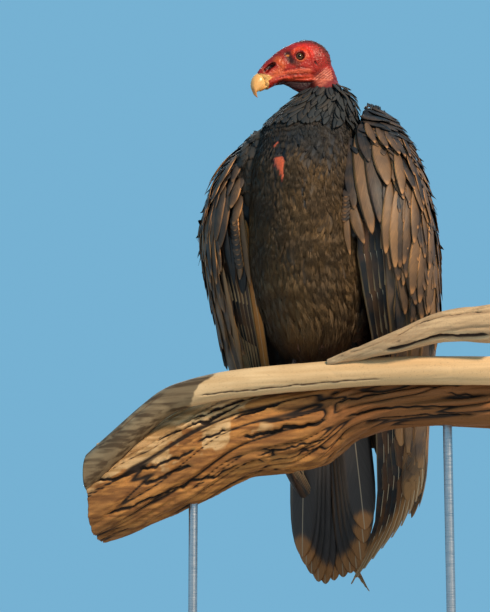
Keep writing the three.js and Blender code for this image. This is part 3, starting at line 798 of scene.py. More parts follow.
class Nodes:
    """A short way to write a node tree."""

    def __init__(self, tree: bpy.types.NodeTree) -> None:
        """Starts from an empty tree."""
        self.tree = tree
        tree.nodes.clear()

    def add(self, kind: str, **values: object) -> bpy.types.Node:
        """A new node with the given settings."""
        node = self.tree.nodes.new(kind)
        for key, value in values.items():
            setattr(node, key, value)
        return node

    def join(self, source: bpy.types.NodeSocket, target: bpy.types.NodeSocket) -> None:
        """A link from one socket to another."""
        self.tree.links.new(source, target)

    def feed(self, target: bpy.types.NodeSocket, value: object) -> None:
        """A link if the value is a socket, and a plain value if it isn't."""
        if isinstance(value, bpy.types.NodeSocket):
            self.join(value, target)
        else:
            target.default_value = value

    def maths(self, operation: str, *values: object) -> bpy.types.NodeSocket:
        """A math node of up to three inputs."""
        node = self.add("ShaderNodeMath", operation=operation)
        for socket, value in zip(node.inputs, values):
            self.feed(socket, value)
        return node.outputs[0]

    def band(self, value: object, low: float, high: float, to: tuple[float, float] = (0, 1)) -> bpy.types.NodeSocket:
        """A smooth step of a value from low to high."""
        node = self.add("ShaderNodeMapRange", interpolation_type="SMOOTHSTEP")
        for socket, given in zip(node.inputs, (value, low, high, *to)):
            self.feed(socket, given)
        return node.outputs[0]

    def blend(self, share: object, first: object, second: object, kind: str = "MIX") -> bpy.types.NodeSocket:
        """A colour mix."""
        node = self.add("ShaderNodeMix", data_type="RGBA", blend_type=kind)
        for index, value in ((0, share), (6, first), (7, second)):
            self.feed(node.inputs[index], value)
        return node.outputs[2]

    def mark(self, name: str) -> bpy.types.Node:
        """A mesh attribute."""
        return self.add("ShaderNodeAttribute", attribute_name=name)

    def scaled(self, vector: bpy.types.NodeSocket, scale: tuple[float, float, float]) -> bpy.types.NodeSocket:
        """A vector times a scale."""
        node = self.add("ShaderNodeVectorMath", operation="MULTIPLY")
        self.join(vector, node.inputs[0])
        node.inputs[1].default_value = scale
        return node.outputs[0]

    def noise(self, vector: bpy.types.NodeSocket, scale: float, detail: float = 3.0) -> bpy.types.NodeSocket:
        """Noise from 0 to 1."""
        node = self.add("ShaderNodeTexNoise")
        self.join(vector, node.inputs["Vector"])
        node.inputs["Scale"].default_value = scale
        node.inputs["Detail"].default_value = detail
        return node.outputs["Fac"]


def group(name: str, outputs: tuple[str, ...], inputs: dict[str, float]) -> tuple[bpy.types.NodeTree, Nodes]:
    """A shader node group with float sockets.

    Args:
        name: the group's name.
        outputs: names of its outputs.
        inputs: names and base values of its inputs.

    Returns:
        The group and its writer.
    """
    tree = bpy.data.node_groups.new(name, "ShaderNodeTree")
    write = Nodes(tree)
    for key, base in inputs.items():
        socket = tree.interface.new_socket(name=key, in_out="INPUT", socket_type="NodeSocketFloat")
        socket.default_value = base
    for key in outputs:
        tree.interface.new_socket(name=key, in_out="OUTPUT", socket_type="NodeSocketFloat")
    return tree, write


def vane_group() -> bpy.types.NodeTree:
    """Edge, tip, shaft and barb masks of a feather, from its own map.

    Returns:
        The group: x across gives the edge and the shaft, y along gives the
        tip, and noise stretched along the barbs gives their height.
    """
    tree, w = group(
        "feather_vane", ("Edge", "Tip", "Shaft", "Barbs", "Worn", "Front"),
        {"Tone": 0.5, "Fineness": 1.0, "Start": 0.9},
    )
    given = w.add("NodeGroupInput")
    out = w.add("NodeGroupOutput")
    place = w.add("ShaderNodeUVMap", uv_map="vane").outputs[0]
    apart = w.add("ShaderNodeSeparateXYZ")
    w.join(place, apart.inputs[0])
    x, y = apart.outputs[0], apart.outputs[1]
    side = w.maths("ABSOLUTE", w.maths("SUBTRACT", x, 0.5))
    slant = w.maths("ADD", y, w.maths("MULTIPLY", side, -0.5))
    joined = w.add("ShaderNodeCombineXYZ")
    w.join(w.maths("MULTIPLY", side, 2.0), joined.inputs[0])
    w.join(w.maths("MULTIPLY", slant, w.maths("MULTIPLY", given.outputs["Fineness"], 46.0)), joined.inputs[1])
    w.join(w.maths("MULTIPLY", given.outputs["Tone"], 37.0), joined.inputs[2])
    barbs = w.noise(joined.outputs[0], 1.0, 2.0)
    wavy = w.maths("ADD", x, w.maths("MULTIPLY", w.maths("SUBTRACT", barbs, 0.5), 0.12))
    w.join(w.band(wavy, 0.84, 0.97), out.inputs["Edge"])
    w.join(w.band(w.maths("ADD", y, w.maths("MULTIPLY", barbs, 0.05)), 0.88, 1.0), out.inputs["Tip"])
    w.join(w.band(side, 0.006, 0.022, (1, 0)), out.inputs["Shaft"])
    w.join(barbs, out.inputs["Barbs"])
    frayed = w.maths("ADD", w.maths("SUBTRACT", y, w.maths("MULTIPLY", side, 0.1)), w.maths("MULTIPLY", barbs, 0.05))
    w.join(w.band(w.maths("SUBTRACT", frayed, given.outputs["Start"]), -0.03, 0.02), out.inputs["Worn"])
    # Front rises across the vane toward the front edge; the finish uses it for paler margins and as painted light on
    # the lit side.
    w.join(w.band(wavy, 0.2, 0.95), out.inputs["Front"])
    return tree


def grain_group() -> bpy.types.NodeTree:
    """Streaks and specks along a timber's length.

    Returns:
        The group: noise stretched along x gives the streaks, fine noise gives
        the specks.
    """
    tree, w = group("timber_grain", ("Streaks", "Specks", "Patches"), {"Stretch": 0.1, "Size": 120.0})
    given = w.add("NodeGroupInput")
    out = w.add("NodeGroupOutput")
    place = w.add("ShaderNodeTexCoord").outputs["Object"]
    apart = w.add("ShaderNodeSeparateXYZ")
    w.join(place, apart.inputs[0])
    long = w.add("ShaderNodeCombineXYZ")
    w.join(w.maths("MULTIPLY", apart.outputs[0], given.outputs["Stretch"]), long.inputs[0])
    w.join(apart.outputs[1], long.inputs[1])
    w.join(apart.outputs[2], long.inputs[2])
    streak = w.add("ShaderNodeTexNoise")
    w.join(long.outputs[0], streak.inputs["Vector"])
    w.join(given.outputs["Size"], streak.inputs["Scale"])
    streak.inputs["Detail"].default_value = 5.0
    w.join(streak.outputs["Fac"], out.inputs["Streaks"])
    w.join(w.noise(place, 900.0, 2.0), out.inputs["Specks"])
    w.join(w.noise(place, 22.0, 3.0), out.inputs["Patches"])
    return tree


class Groups:
    """The shared node groups, each built once."""

    made: dict[str, bpy.types.NodeTree] = {}

    @classmethod
    def get(cls, name: str) -> bpy.types.NodeTree:
        """The group of that name."""
        if name not in cls.made:
            cls.made[name] = {"vane": vane_group, "grain": grain_group}[name]()
        return cls.made[name]


def shaded(name: str) -> tuple[bpy.types.Material, Nodes, bpy.types.Node]:
    """A new material with a Principled shader.

    Returns:
        The material, its writer and the shader.
    """
    material = bpy.data.materials.new(name)
    material.use_nodes = True
    write = Nodes(material.node_tree)
    shader = write.add("ShaderNodeBsdfPrincipled")
    write.join(shader.outputs[0], write.add("ShaderNodeOutputMaterial").inputs[0])
    return material, write, shader


def bumped(write: Nodes, shader: bpy.types.Node, height: object, strength: float, depth: float) -> None:
    """A bump of the given height in metres on the shader's normal."""
    bump = write.add("ShaderNodeBump")
    bump.inputs["Strength"].default_value = strength
    bump.inputs["Distance"].default_value = depth
    write.feed(bump.inputs["Height"], height)
    write.join(bump.outputs[0], shader.inputs["Normal"])


@dataclass(frozen=True)
class Plumage:
    """Feathers: dark and cool to brown, with worn pale edges and a shaft, and a lighter front vane that is partly
    painted light.
    """

    name: str
    cool: Colour = paint(34, 36, 40)
    warm: Colour = paint(80, 60, 36)
    edge: Colour = paint(160, 106, 58)
    shaft: Colour = paint(120, 100, 78)
    shaft_strength: float = 0.3
    roughness: float = 0.5
    fineness: float = 1.0
    worn: float = 0.0
    start: float = 0.9
    # How much lighter the front vane is: partly paler margins, partly painted light on the lit side.
    front: float = 0.0
    mottle: float = 0.18
    barred: float = 0.16

    def material(self) -> bpy.types.Material:
        """The finish: cool to warm by mark, then edge and tip, then the shaft."""
        material, w, shader = shaded(self.name)
        vane = w.add("ShaderNodeGroup", node_tree=Groups.get("vane"))
        tone = w.mark("tone").outputs["Fac"]
        w.join(tone, vane.inputs["Tone"])
        vane.inputs["Fineness"].default_value = self.fineness
        vane.inputs["Start"].default_value = self.start
        place = w.add("ShaderNodeTexCoord").outputs["Object"]
        mottle = w.noise(place, 55.0, 3.0)
        share = w.maths("ADD", w.mark("warm").outputs["Fac"], w.band(mottle, 0.3, 0.7, (-self.mottle, self.mottle)))
        share = w.maths("ADD", share, w.maths("MULTIPLY", vane.outputs["Worn"], self.worn))
        share = w.maths("MINIMUM", w.maths("MAXIMUM", share, 0.0), 1.0)
        base = w.blend(share, self.cool, self.warm)
        light = w.maths("ADD", w.band(tone, 0.0, 1.0, (0.4, 1.4)), w.band(vane.outputs["Barbs"], 0.3, 0.7, (-self.barred, self.barred)))
        # The front vane lighter: paler margins, and painted light on the lit side.
        light = w.maths("ADD", light, w.maths("MULTIPLY", w.maths("SUBTRACT", vane.outputs["Front"], 0.5), self.front))
        shade = w.add("ShaderNodeCombineColor")
        for socket in shade.inputs:
            w.join(light, socket)
        base = w.blend(1.0, base, shade.outputs[0], "MULTIPLY")
        rim = w.maths("MAXIMUM", vane.outputs["Edge"], w.maths("MULTIPLY", vane.outputs["Tip"], 0.45))
        base = w.blend(w.maths("MULTIPLY", rim, w.mark("edge").outputs["Fac"]), base, self.edge)
        base = w.blend(w.maths("MULTIPLY", vane.outputs["Shaft"], self.shaft_strength), base, self.shaft)
        w.join(base, shader.inputs["Base Color"])
        shader.inputs["Roughness"].default_value = self.roughness
        shader.inputs["Specular IOR Level"].default_value = 0.25
        bumped(w, shader, vane.outputs["Barbs"], 0.45, 0.0006)
        return material


@dataclass(frozen=True)
class Hide:
    """Bare skin: a painted colour with fine pores, and a soft wet shine."""

    name: str
    roughness: float = 0.42

    def material(self) -> bpy.types.Material:
        """The finish: the mesh's own colours, broken up by fine noise."""
        material, w, shader = shaded(self.name)
        place = w.add("ShaderNodeTexCoord").outputs["Object"]
        fine = w.noise(place, 700.0, 3.0)
        broad = w.noise(place, 160.0, 3.0)
        colour = w.mark("skin").outputs["Color"]
        dark = w.blend(w.band(fine, 0.35, 0.75, (0.0, 0.35)), colour, paint(70, 18, 14), "MULTIPLY")
        light = w.blend(w.band(broad, 0.45, 0.8, (0.0, 0.35)), dark, paint(250, 190, 170), "SOFT_LIGHT")
        w.join(light, shader.inputs["Base Color"])
        w.join(w.band(fine, 0.3, 0.7, (self.roughness - 0.08, self.roughness + 0.12)), shader.inputs["Roughness"])
        shader.inputs["Specular IOR Level"].default_value = 0.3
        shader.inputs["Subsurface Weight"].default_value = 0.1
        shader.inputs["Subsurface Radius"].default_value = (0.004, 0.0015, 0.001)
        pits = w.add("ShaderNodeTexVoronoi")
        w.join(place, pits.inputs["Vector"])
        pits.inputs["Scale"].default_value = 620.0
        height = w.maths("ADD", w.maths("MULTIPLY", pits.outputs["Distance"], 0.7), fine)
        bumped(w, shader, height, 0.5, 0.0005)
        return material


@dataclass(frozen=True)
class Horn:
    """Bill and claws: pale at the root, darker and smoother at the tip."""

    name: str
    root: Colour
    body: Colour
    tip: Colour
    roughness: float = 0.34

    def material(self) -> bpy.types.Material:
        """The finish: three colours along the mark, with long fine streaks."""
        material, w, shader = shaded(self.name)
        along = w.mark("along").outputs["Fac"]
        place = w.add("ShaderNodeTexCoord").outputs["Object"]
        cloudy = w.noise(place, 190.0, 4.0)
        shift = w.maths("ADD", along, w.band(cloudy, 0.3, 0.7, (-0.1, 0.1)))
        base = w.blend(w.band(shift, 0.0, 0.3), self.root, self.body)
        base = w.blend(w.band(shift, 0.55, 1.0), base, self.tip)
        base = w.blend(w.band(cloudy, 0.45, 0.8, (0, 0.3)), base, self.root)
        w.join(base, shader.inputs["Base Color"])
        shader.inputs["Roughness"].default_value = self.roughness
        shader.inputs["Subsurface Weight"].default_value = 0.08
        shader.inputs["Subsurface Radius"].default_value = (0.003, 0.002, 0.001)
        bumped(w, shader, cloudy, 0.35, 0.0006)
        return material


@dataclass(frozen=True)
class EyeGloss:
    """The eye: a black pupil in a dark brown ring, under a clear coat."""

    name: str = "eye_gloss"

    def material(self) -> bpy.types.Material:
        """The finish: rings by the mark of angle from the eye's axis."""
        material, w, shader = shaded(self.name)
        ring = w.mark("ring").outputs["Fac"]
        place = w.add("ShaderNodeTexCoord").outputs["Object"]
        rays = w.noise(place, 1400.0, 2.0)
        iris = w.blend(w.band(rays, 0.3, 0.7), paint(42, 26, 12), paint(86, 58, 28))
        base = w.blend(w.band(ring, 0.24, 0.30), paint(4, 3, 3), iris)
        base = w.blend(w.band(ring, 0.50, 0.60), base, paint(22, 14, 10))
        w.join(base, shader.inputs["Base Color"])
        w.join(w.band(rays, 0.2, 0.8, (0.12, 0.2)), shader.inputs["Roughness"])
        shader.inputs["Specular IOR Level"].default_value = 0.15
        shader.inputs["Coat Weight"].default_value = 0.12
        shader.inputs["Coat Roughness"].default_value = 0.06
        return material


@dataclass(frozen=True)
class Timber:
    """Weathered wood: streaked along its length, dark in its grooves, partly the wood's colour there and partly
    painted shade.
    """

    name: str
    light: Colour
    dark: Colour
    # crack is the colour of the specks, and of grooves and cracks, where it is partly painted shade.
    crack: Colour
    aged_light: Colour
    aged_dark: Colour
    dull: Colour
    stretch: float = 0.09
    size: float = 150.0
    roughness: float = 0.75
    depth: float = 0.0012

    def material(self) -> bpy.types.Material:
        """The finish: streaks between two colours, cracks and grooves darkened by the groove mark, partly as painted
        shade.
        """
        material, w, shader = shaded(self.name)
        grain = w.add("ShaderNodeGroup", node_tree=Groups.get("grain"))
        grain.inputs["Stretch"].default_value = self.stretch
        grain.inputs["Size"].default_value = self.size
        streaks, specks = grain.outputs["Streaks"], grain.outputs["Specks"]
        fresh = w.blend(w.maths("MULTIPLY", w.mark("dull").outputs["Fac"], 0.8), self.light, self.dull)
        base = w.blend(w.band(streaks, 0.34, 0.64), self.dark, fresh)
        base = w.blend(w.band(grain.outputs["Patches"], 0.42, 0.62, (0, 0.45)), base, self.dark)
        old = w.blend(w.band(streaks, 0.38, 0.6), self.aged_dark, self.aged_light)
        old = w.blend(w.band(grain.outputs["Patches"], 0.4, 0.6, (0, 0.4)), old, self.aged_dark)
        aged = w.maths("ADD", w.mark("aged").outputs["Fac"], w.band(grain.outputs["Patches"], 0.35, 0.65, (-0.4, 0.4)))
        base = w.blend(w.band(aged, 0.4, 0.6), base, old)
        base = w.blend(w.band(specks, 0.58, 0.72, (0, 0.4)), base, self.crack)
        # Grooves, cracks and the bump's low streaks go toward the crack colour: painted shade in the cuts, with the
        # wood's darker colour there.
        groove = w.mark("groove").outputs["Fac"]
        deep = w.maths("MAXIMUM", w.band(groove, 0.35, 0.85), w.band(streaks, 0.24, 0.34, (0.85, 0)))
        base = w.blend(deep, base, self.crack)
        w.join(base, shader.inputs["Base Color"])
        w.join(w.band(streaks, 0.2, 0.8, (self.roughness + 0.12, self.roughness - 0.08)), shader.inputs["Roughness"])
        shader.inputs["Specular IOR Level"].default_value = 0.3
        bumped(w, shader, w.maths("ADD", streaks, w.maths("MULTIPLY", specks, 0.12)), 0.7, self.depth)
        return material


@dataclass(frozen=True)
class Steel:
    """Brushed steel rods."""

    name: str = "stand_steel"

    def material(self) -> bpy.types.Material:
        """The finish: fine rings round the rod in roughness and bump."""
        material, w, shader = shaded(self.name)
        place = w.add("ShaderNodeTexCoord").outputs["Object"]
        rings = w.noise(w.scaled(place, (1.0, 1.0, 30.0)), 90.0, 3.0)
        w.join(w.blend(rings, paint(150, 150, 152), paint(196, 196, 198)), shader.inputs["Base Color"])
        shader.inputs["Metallic"].default_value = 1.0
        w.join(w.band(rings, 0.3, 0.7, (0.26, 0.42)), shader.inputs["Roughness"])
        bumped(w, shader, rings, 0.15, 0.0002)
        return material


# -------------------------------------------------------------------- skin


def polyline_gap(points: Array, line: tuple) -> Array:
    """Shortest distance from each place to a line of straight parts.

    Args:
        points: places of shape (n, 2).
        line: the line's corners.

    Returns:
        Distances of shape (n,).
    """
    best = np.full(len(points), 1e9)
    corners = np.array(line, float)
    for start, end in zip(corners[:-1], corners[1:]):
        way = end - start
        share = np.clip((points - start) @ way / (way @ way), 0, 1)
        best = np.minimum(best, np.linalg.norm(points - start - share[:, None] * way, axis=1))
    return best


@dataclass(frozen=True)
class Fold:
    """A ridge (height above nothing) or crease along a line on each cheek."""

    height: float
    width: float
    line: tuple

    def lift(self, flat: Array) -> Array:
        """Height times e to the minus square of gap over width."""
        return self.height * np.exp(-((polyline_gap(flat, self.line) / self.width) ** 2))


@dataclass(frozen=True)
class BlushAndShade:
    """A soft-edged patch of colour along a line on each cheek; most are stains of the skin, and some are painted
    highlights and painted shade.
    """

    colour: Colour
    width: float
    strength: float
    line: tuple

    def over(self, flat: Array, base: Array, wander: Array) -> Array:
        """The base mixed with the colour by e to the minus gap over width to the fourth."""
        gap = polyline_gap(flat, self.line if len(self.line) > 1 else self.line * 2) + wander
        share = self.strength * np.exp(-np.abs(gap / self.width) ** 3)
        return base + (np.array(self.colour) - base) * share[:, None]


WRINKLES = tuple(
    Fold(1.15, 0.8, ((14.5 - 0.6 * k, -33.5 - 2.3 * k), (1.0 - 0.4 * k, -26.6 - 2.5 * k), (-12.5, -19.5 - 2.7 * k)))
    for k in range(-1, 5)
)
FOLDS = WRINKLES + (
    Fold(1.0, 1.0, ((25.8, 1.5), (23.6, 4.2), (20.6, 5.2), (17.2, 3.8), (15.6, 0.6))),
    Fold(-0.55, 0.9, ((28, 2.5), (23.5, 7.2), (17.5, 7.8), (12.5, 3), (11.8, -4.5), (16, -9.4), (23, -9.2))),
    Fold(0.85, 0.85, ((26.6, -2.2), (24.2, -6.0), (20.4, -7.0), (16.8, -5.2), (15.4, -2.4))),
    Fold(0.7, 1.3, ((30, 6.5), (23, 10.5), (14, 10), (8.5, 4), (7.9, -1.1), (9.5, -7))),
    Fold(-1.0, 0.75, ((45, -14.6), (38, -13.0), (31, -13.8), (25, -13.4), (18, -15.2), (11, -17.4))),
    Fold(0.8, 1.4, ((47, -17), (40, -16.0), (29.8, -16.8), (19, -18.2), (9, -20.2))),
    Fold(-0.8, 0.7, ((48, -19.4), (38.6, -19.0), (27, -20.6), (16, -21.6), (9, -24.5))),
    Fold(0.7, 1.2, ((44, -21.4), (33, -22.2), (22, -23.8), (12, -25.5))),
    Fold(-0.6, 0.6, ((40, -23.6), (30, -24.8), (20, -26.8), (12.6, -28.6))),
    Fold(0.9, 1.5, ((58.5, -23.2), (46.3, -24.2), (35, -26.6), (24, -29.8), (12.6, -31))),
    Fold(0.55, 0.8, ((62.5, -2.6), (64.4, -7), (64.2, -12), (59, -16.6), (51, -13.6), (47.6, -8), (48.6, -2.6))),
    Fold(-0.6, 0.7, ((45.4, -11), (43.8, -4), (40.4, 2))),
    Fold(-2.4, 4.2, ((33.4, 3.4), (32.4, -1.5))),
    Fold(1.1, 3.4, ((45.0, -1.0), (42.6, -6.5))),
    Fold(0.9, 4.5, ((10.5, 3.5), (12.5, 8))),
    Fold(-0.5, 0.7, ((6.5, 4), (4.4, -3), (6.0, -8.6))),
    Fold(-0.5, 0.6, ((10.4, -8.6), (12.4, -12.4), (9.4, -15.6))),
    Fold(-1.7, 1.0, ((6.1, -10.8), (4.4, -13.6))),
    Fold(0.7, 1.1, ((8.6, -9.8), (7.2, -14), (5.8, -18))),
    Fold(0.8, 3.5, ((-2, -8), (-1, -15))),
)
NOSTRIL_LINE = ((60.8, -9.4), (56.5, -6.2), (51.8, -4.2))
BLUSHES_AND_SHADES = (
    BlushAndShade(paint(146, 44, 40), 9.0, 0.75, ((52, 4), (42, 10), (33, 14))),
    BlushAndShade(paint(206, 54, 46), 6.0, 0.7, ((24, 15), (15, 17), (8, 14))),
    BlushAndShade(paint(255, 70, 48), 5.5, 0.95, ((11.5, 4), (15, 9), (9.2, 0))),
    BlushAndShade(paint(246, 110, 44), 2.6, 0.75, ((28, 4), (22, 8), (16.5, 7.4), (13.5, 3), (12.8, -3))),
    BlushAndShade(paint(70, 38, 26), 6.5, 0.9, ((13, 20), (4, 18.5), (-4, 14), (-10, 8), (-12, 3))),
    BlushAndShade(paint(120, 62, 52), 5.0, 0.75, ((-10, 2), (-12.5, -5), (-14, -13))),
    BlushAndShade(paint(172, 62, 46), 6.5, 0.7, ((0, -4), (-1, -15))),
    # Pale along the cheek ridges: painted highlight.
    BlushAndShade(paint(244, 150, 122), 2.8, 0.85, ((48, -16.6), (38, -16.4), (28, -17.4), (14, -19.4))),
    BlushAndShade(paint(240, 124, 92), 3.2, 0.8, ((46, -23.4), (34, -23.4), (22, -25.5), (10, -27))),
    # Dark along the cheek creases: painted shade.
    BlushAndShade(paint(130, 30, 24), 1.1, 0.7, ((45, -14.6), (38, -13.0), (31, -13.8), (25, -13.4), (18, -15.2))),
    BlushAndShade(paint(120, 26, 22), 1.0, 0.7, ((48, -19.4), (38.6, -19.0), (27, -20.6), (16, -21.6))),
    BlushAndShade(paint(118, 60, 34), 3.2, 0.8, ((29.5, -7.0), (25.5, -9.4))),
    BlushAndShade(paint(240, 158, 116), 4.2, 0.8, ((57, -17.6), (50.6, -14.6), (46, -13.4))),
    BlushAndShade(paint(240, 156, 88), 4.4, 0.7, ((45.6, 0.0), (43.4, -4.5), (42.4, -7.4))),
    BlushAndShade(paint(58, 30, 14), 4.4, 0.98, ((33.2, 4.4), (32.4, -1.6), (31.4, -4.4))),
    # A small pale spot in the lore: a painted glint.
    BlushAndShade(paint(255, 214, 120), 1.1, 0.95, ((34.2, 2.9), (33.0, 2.5))),
    BlushAndShade(paint(232, 150, 104), 0.9, 0.9, ((26.2, -3.2), (23.8, -6.5), (20.4, -7.3), (17.2, -5.8), (15.6, -3.4))),
    BlushAndShade(paint(120, 24, 18), 1.2, 0.75, ((26.0, 1.2), (23.6, 3.6), (20.6, 4.5), (17.4, 3.2), (15.9, 0.2))),
    BlushAndShade(paint(196, 128, 112), 1.0, 0.8, ((62.9, -2.6), (64.6, -7), (64.2, -12), (60, -16.0), (54, -15.0))),
    # Near black in the nostril slot: painted shade.
    BlushAndShade(paint(26, 4, 4), 2.7, 1.0, NOSTRIL_LINE),
    BlushAndShade(paint(200, 30, 22), 1.3, 0.85, ((59.6, -10.2), (57.6, -8.6))),
    # Dark in the ear slot: painted shade.
    BlushAndShade(paint(60, 12, 10), 1.1, 0.9, ((6.1, -10.8), (4.4, -13.6))),
)


@dataclass
class Skin:
    """One skin over trunk, neck, head, arms, thighs and feet."""

    coat: float = 5.0
    head_voxel: float = 0.75
    body_voxel: float = 3.2
    foot_voxel: float = 1.1
    deepening: tuple = (0.6, 0.28, 0.165)

    def remade(self, forms: list[Form], voxel: float, rounds: int) -> tuple[Array, Array, Array, Array]:
        """One even skin over several overlapping forms.

        Args:
            forms: closed shapes that overlap.
            voxel: size of its quads.
            rounds: how many times it is smoothed.

        Returns:
            Points, face corners, face sizes and vertex normals.
        """
        mesh = Form.joined(forms).mesh("skin_draft")
        draft = bpy.data.objects.new("skin_draft", mesh)
        bpy.context.scene.collection.objects.link(draft)
        remesh = draft.modifiers.new("even", "REMESH")
        remesh.mode = "VOXEL"
        remesh.voxel_size = voxel * METRES
        smooth = draft.modifiers.new("smooth", "SMOOTH")
        smooth.factor = 0.5
        smooth.iterations = rounds
        made = self.read(draft)
        bpy.data.objects.remove(draft)
        return made

    @staticmethod
    def read(thing: bpy.types.Object) -> tuple[Array, Array, Array, Array]:
        """The object's final mesh as arrays in millimetres from the axis."""
        graph = bpy.context.evaluated_depsgraph_get()
        final = thing.evaluated_get(graph)
        mesh = final.to_mesh()
        points = np.empty(len(mesh.vertices) * 3, np.float32)
        normals = np.empty(len(mesh.vertices) * 3, np.float32)
        corners = np.empty(len(mesh.loops), np.int32)
        sizes = np.empty(len(mesh.polygons), np.int32)
        mesh.vertices.foreach_get("co", points)
        mesh.vertex_normals.foreach_get("vector", normals)
        mesh.loops.foreach_get("vertex_index", corners)
        mesh.polygons.foreach_get("loop_total", sizes)
        final.to_mesh_clear()
        places = points.reshape(-1, 3).astype(float) / METRES - AXIS
        return places, corners, sizes, normals.reshape(-1, 3).astype(float)

    def head_forms(self) -> list[Form]:
        """The skull, the bare neck, the throat, the chin and the cheeks."""
        skull = Skull(Levels(HEAD_LEVELS))
        forward = np.linspace(-17.4, 68.8, 60)
        angle = np.linspace(0, 2 * np.pi, 56, endpoint=False)
        v, u = np.meshgrid(forward, angle, indexing="ij")
        head = lofted(skull.point(u.ravel(), v.ravel()).reshape(60, 56, 3))
        neck = Tube(Levels(NECK_LEVELS))
        level = np.linspace(222, 289, 30)
        v, u = np.meshgrid(level, angle, indexing="ij")
        collar = lofted(neck.point(u.ravel(), v.ravel()).reshape(30, 56, 3))
        throat = pipe(
            from_head(np.array([[46, 0, -19.5], [36, 0, -22.5], [26, 0, -27], [14, 0, -32.5], [4, 0, -37]], float)),
            np.array([4.0, 6.4, 9.2, 12.5, 14.0]), 32, 6,
        )
        chin = pipe(
            from_head(np.array([[44, 0, -19], [52, 0, -20.8], [58, 0, -23.4], [62.4, 0, -25.8]], float)),
            np.array([4.6, 4.6, 4.6, 3.9]), 24, 6,
        )
        cheeks = [
            pipe(
                from_head(np.array([[40, s * 5.6, -20.5], [52, s * 4.6, -21.2], [61, s * 3.6, -24.0]], float)),
                np.array([5.2, 4.4, 3.3]), 24, 6,
            )
            for s in (-1, 1)
        ]
        return [head, collar, throat, chin, *cheeks]

    def shaped_head(self) -> tuple[Form, Array]:
        """The head with its folds, lids, nostrils and ears pressed in."""
        points, corners, sizes, normals = self.remade(self.head_forms(), self.head_voxel, 5)
        local = to_head(points)
        facing = normals @ HEAD_AXES
        flat = local[:, [0, 2]]
        cheek = ease(0.25, 0.7, np.abs(facing[:, 1])) * (0.75 + 0.5 * cloud(local / 5.0, 47))
        bent = flat + 0.7 * np.stack([cloud(local / 3.2, 48), cloud(local / 3.2, 49)], 1)
        lift = sum(fold.lift(bent) for fold in FOLDS) * cheek
        ring = np.hypot(local[:, 0] - EYE_CENTRE[0], local[:, 2] - EYE_CENTRE[2])
        clear = np.where(ring < EYE_OPENING + 0.4, 0.0, 1.0)
        lift = lift * clear
        fine = cloud(local / 1.6, 11, 2) * 0.3 + cloud(local / np.array([5.0, 1.6, 1.8]), 23) * 0.2
        behind = ease(8, -6, local[:, 0]) * ease(-16, -22, local[:, 2])
        wavy = np.sin((local[:, 2] * 0.86 - local[:, 0] * 0.42) * 2.2 + cloud(local / 6.0, 5) * 1.4)
        lift += (fine + 0.25 * behind * wavy) * clear * ease(-45, -30, local[:, 2])
        moved = local + facing * lift[:, None]
        moved[:, 1] *= 1 - 0.42 * self.under_jaw(local)
        side = np.sign(local[:, 1])
        socket = ease(EYE_OPENING + 0.9, EYE_OPENING - 0.9, ring) * ease(5, 9, np.abs(local[:, 1]))
        moved[:, 1] -= side * socket * 6.0
        gap = polyline_gap(flat, NOSTRIL_LINE)
        slot = ease(3.2, 1.6, gap) * ease(1.5, 4.0, np.abs(local[:, 1])) * ease(66, 62, local[:, 0])
        moved[:, 1] -= side * slot * 6.2
        return Form(from_head(moved), corners, sizes), local

    @staticmethod
    def under_jaw(local: Array) -> Array:
        """How far a place of the head lies in the hollow under the jaw, from 0 to 1; it narrows the head there and
        places the painted shadow.
        """
        edge = np.interp(local[:, 0], (8, 20, 34, 44, 54), (-30.5, -28.0, -24.6, -22.4, -23.4))
        reach = ease(6, 13, local[:, 0]) * ease(54, 47, local[:, 0])
        return ease(0.6, -1.6, local[:, 2] - edge) * reach

    def body_forms(self, wings: dict[Side, WingFace]) -> list[Form]:
        """The trunk, the arms and the thighs, inside their coat."""
        trunk = Tube(Levels(BODY_LEVELS), self.coat)
        level = np.linspace(-62, 256, 90)
        angle = np.linspace(0, 2 * np.pi, 72, endpoint=False)
        v, u = np.meshgrid(level, angle, indexing="ij")
        forms = [lofted(trunk.point(u.ravel(), v.ravel()).reshape(90, 72, 3))]
        for side, face in wings.items():
            top = 226.0 if side is Side.LEFT else 203.0
            level = np.linspace(66, top, 50)
            share = np.linspace(0, 1, 40)
            v, u = np.meshgrid(level, share, indexing="ij")
            outer = WingFace(face.levels, side, self.coat).point(u.ravel(), v.ravel()).reshape(50, 40, 3)
            inner = WingFace(face.levels, side, 23.0).point(u.ravel(), v.ravel()).reshape(50, 40, 3)
            outer += (inner - outer) * (0.6 * ease(120, 66, level))[:, None, None]
            rings = np.concatenate([outer, inner[:, ::-1]], 1)
            forms.append(lofted(rings if side is Side.LEFT else rings[:, ::-1]))
        pad = Tube(Levels(SHOULDER_LEVELS), 3.0)
        level = np.linspace(100, 203, 30)
        v, u = np.meshgrid(level, angle, indexing="ij")
        forms.append(lofted(pad.point(u.ravel(), v.ravel()).reshape(30, 72, 3)))
        for side in Side:
            line = np.array([THIGH_TOP, THIGH_TOP * 0.45 + ANKLE * 0.55, ANKLE])
            line[:, 0] = side.value * LEG_SPREAD
            forms.append(pipe(line, np.array([25.0, 21.0, 7.5]), 32, 6))
        return forms

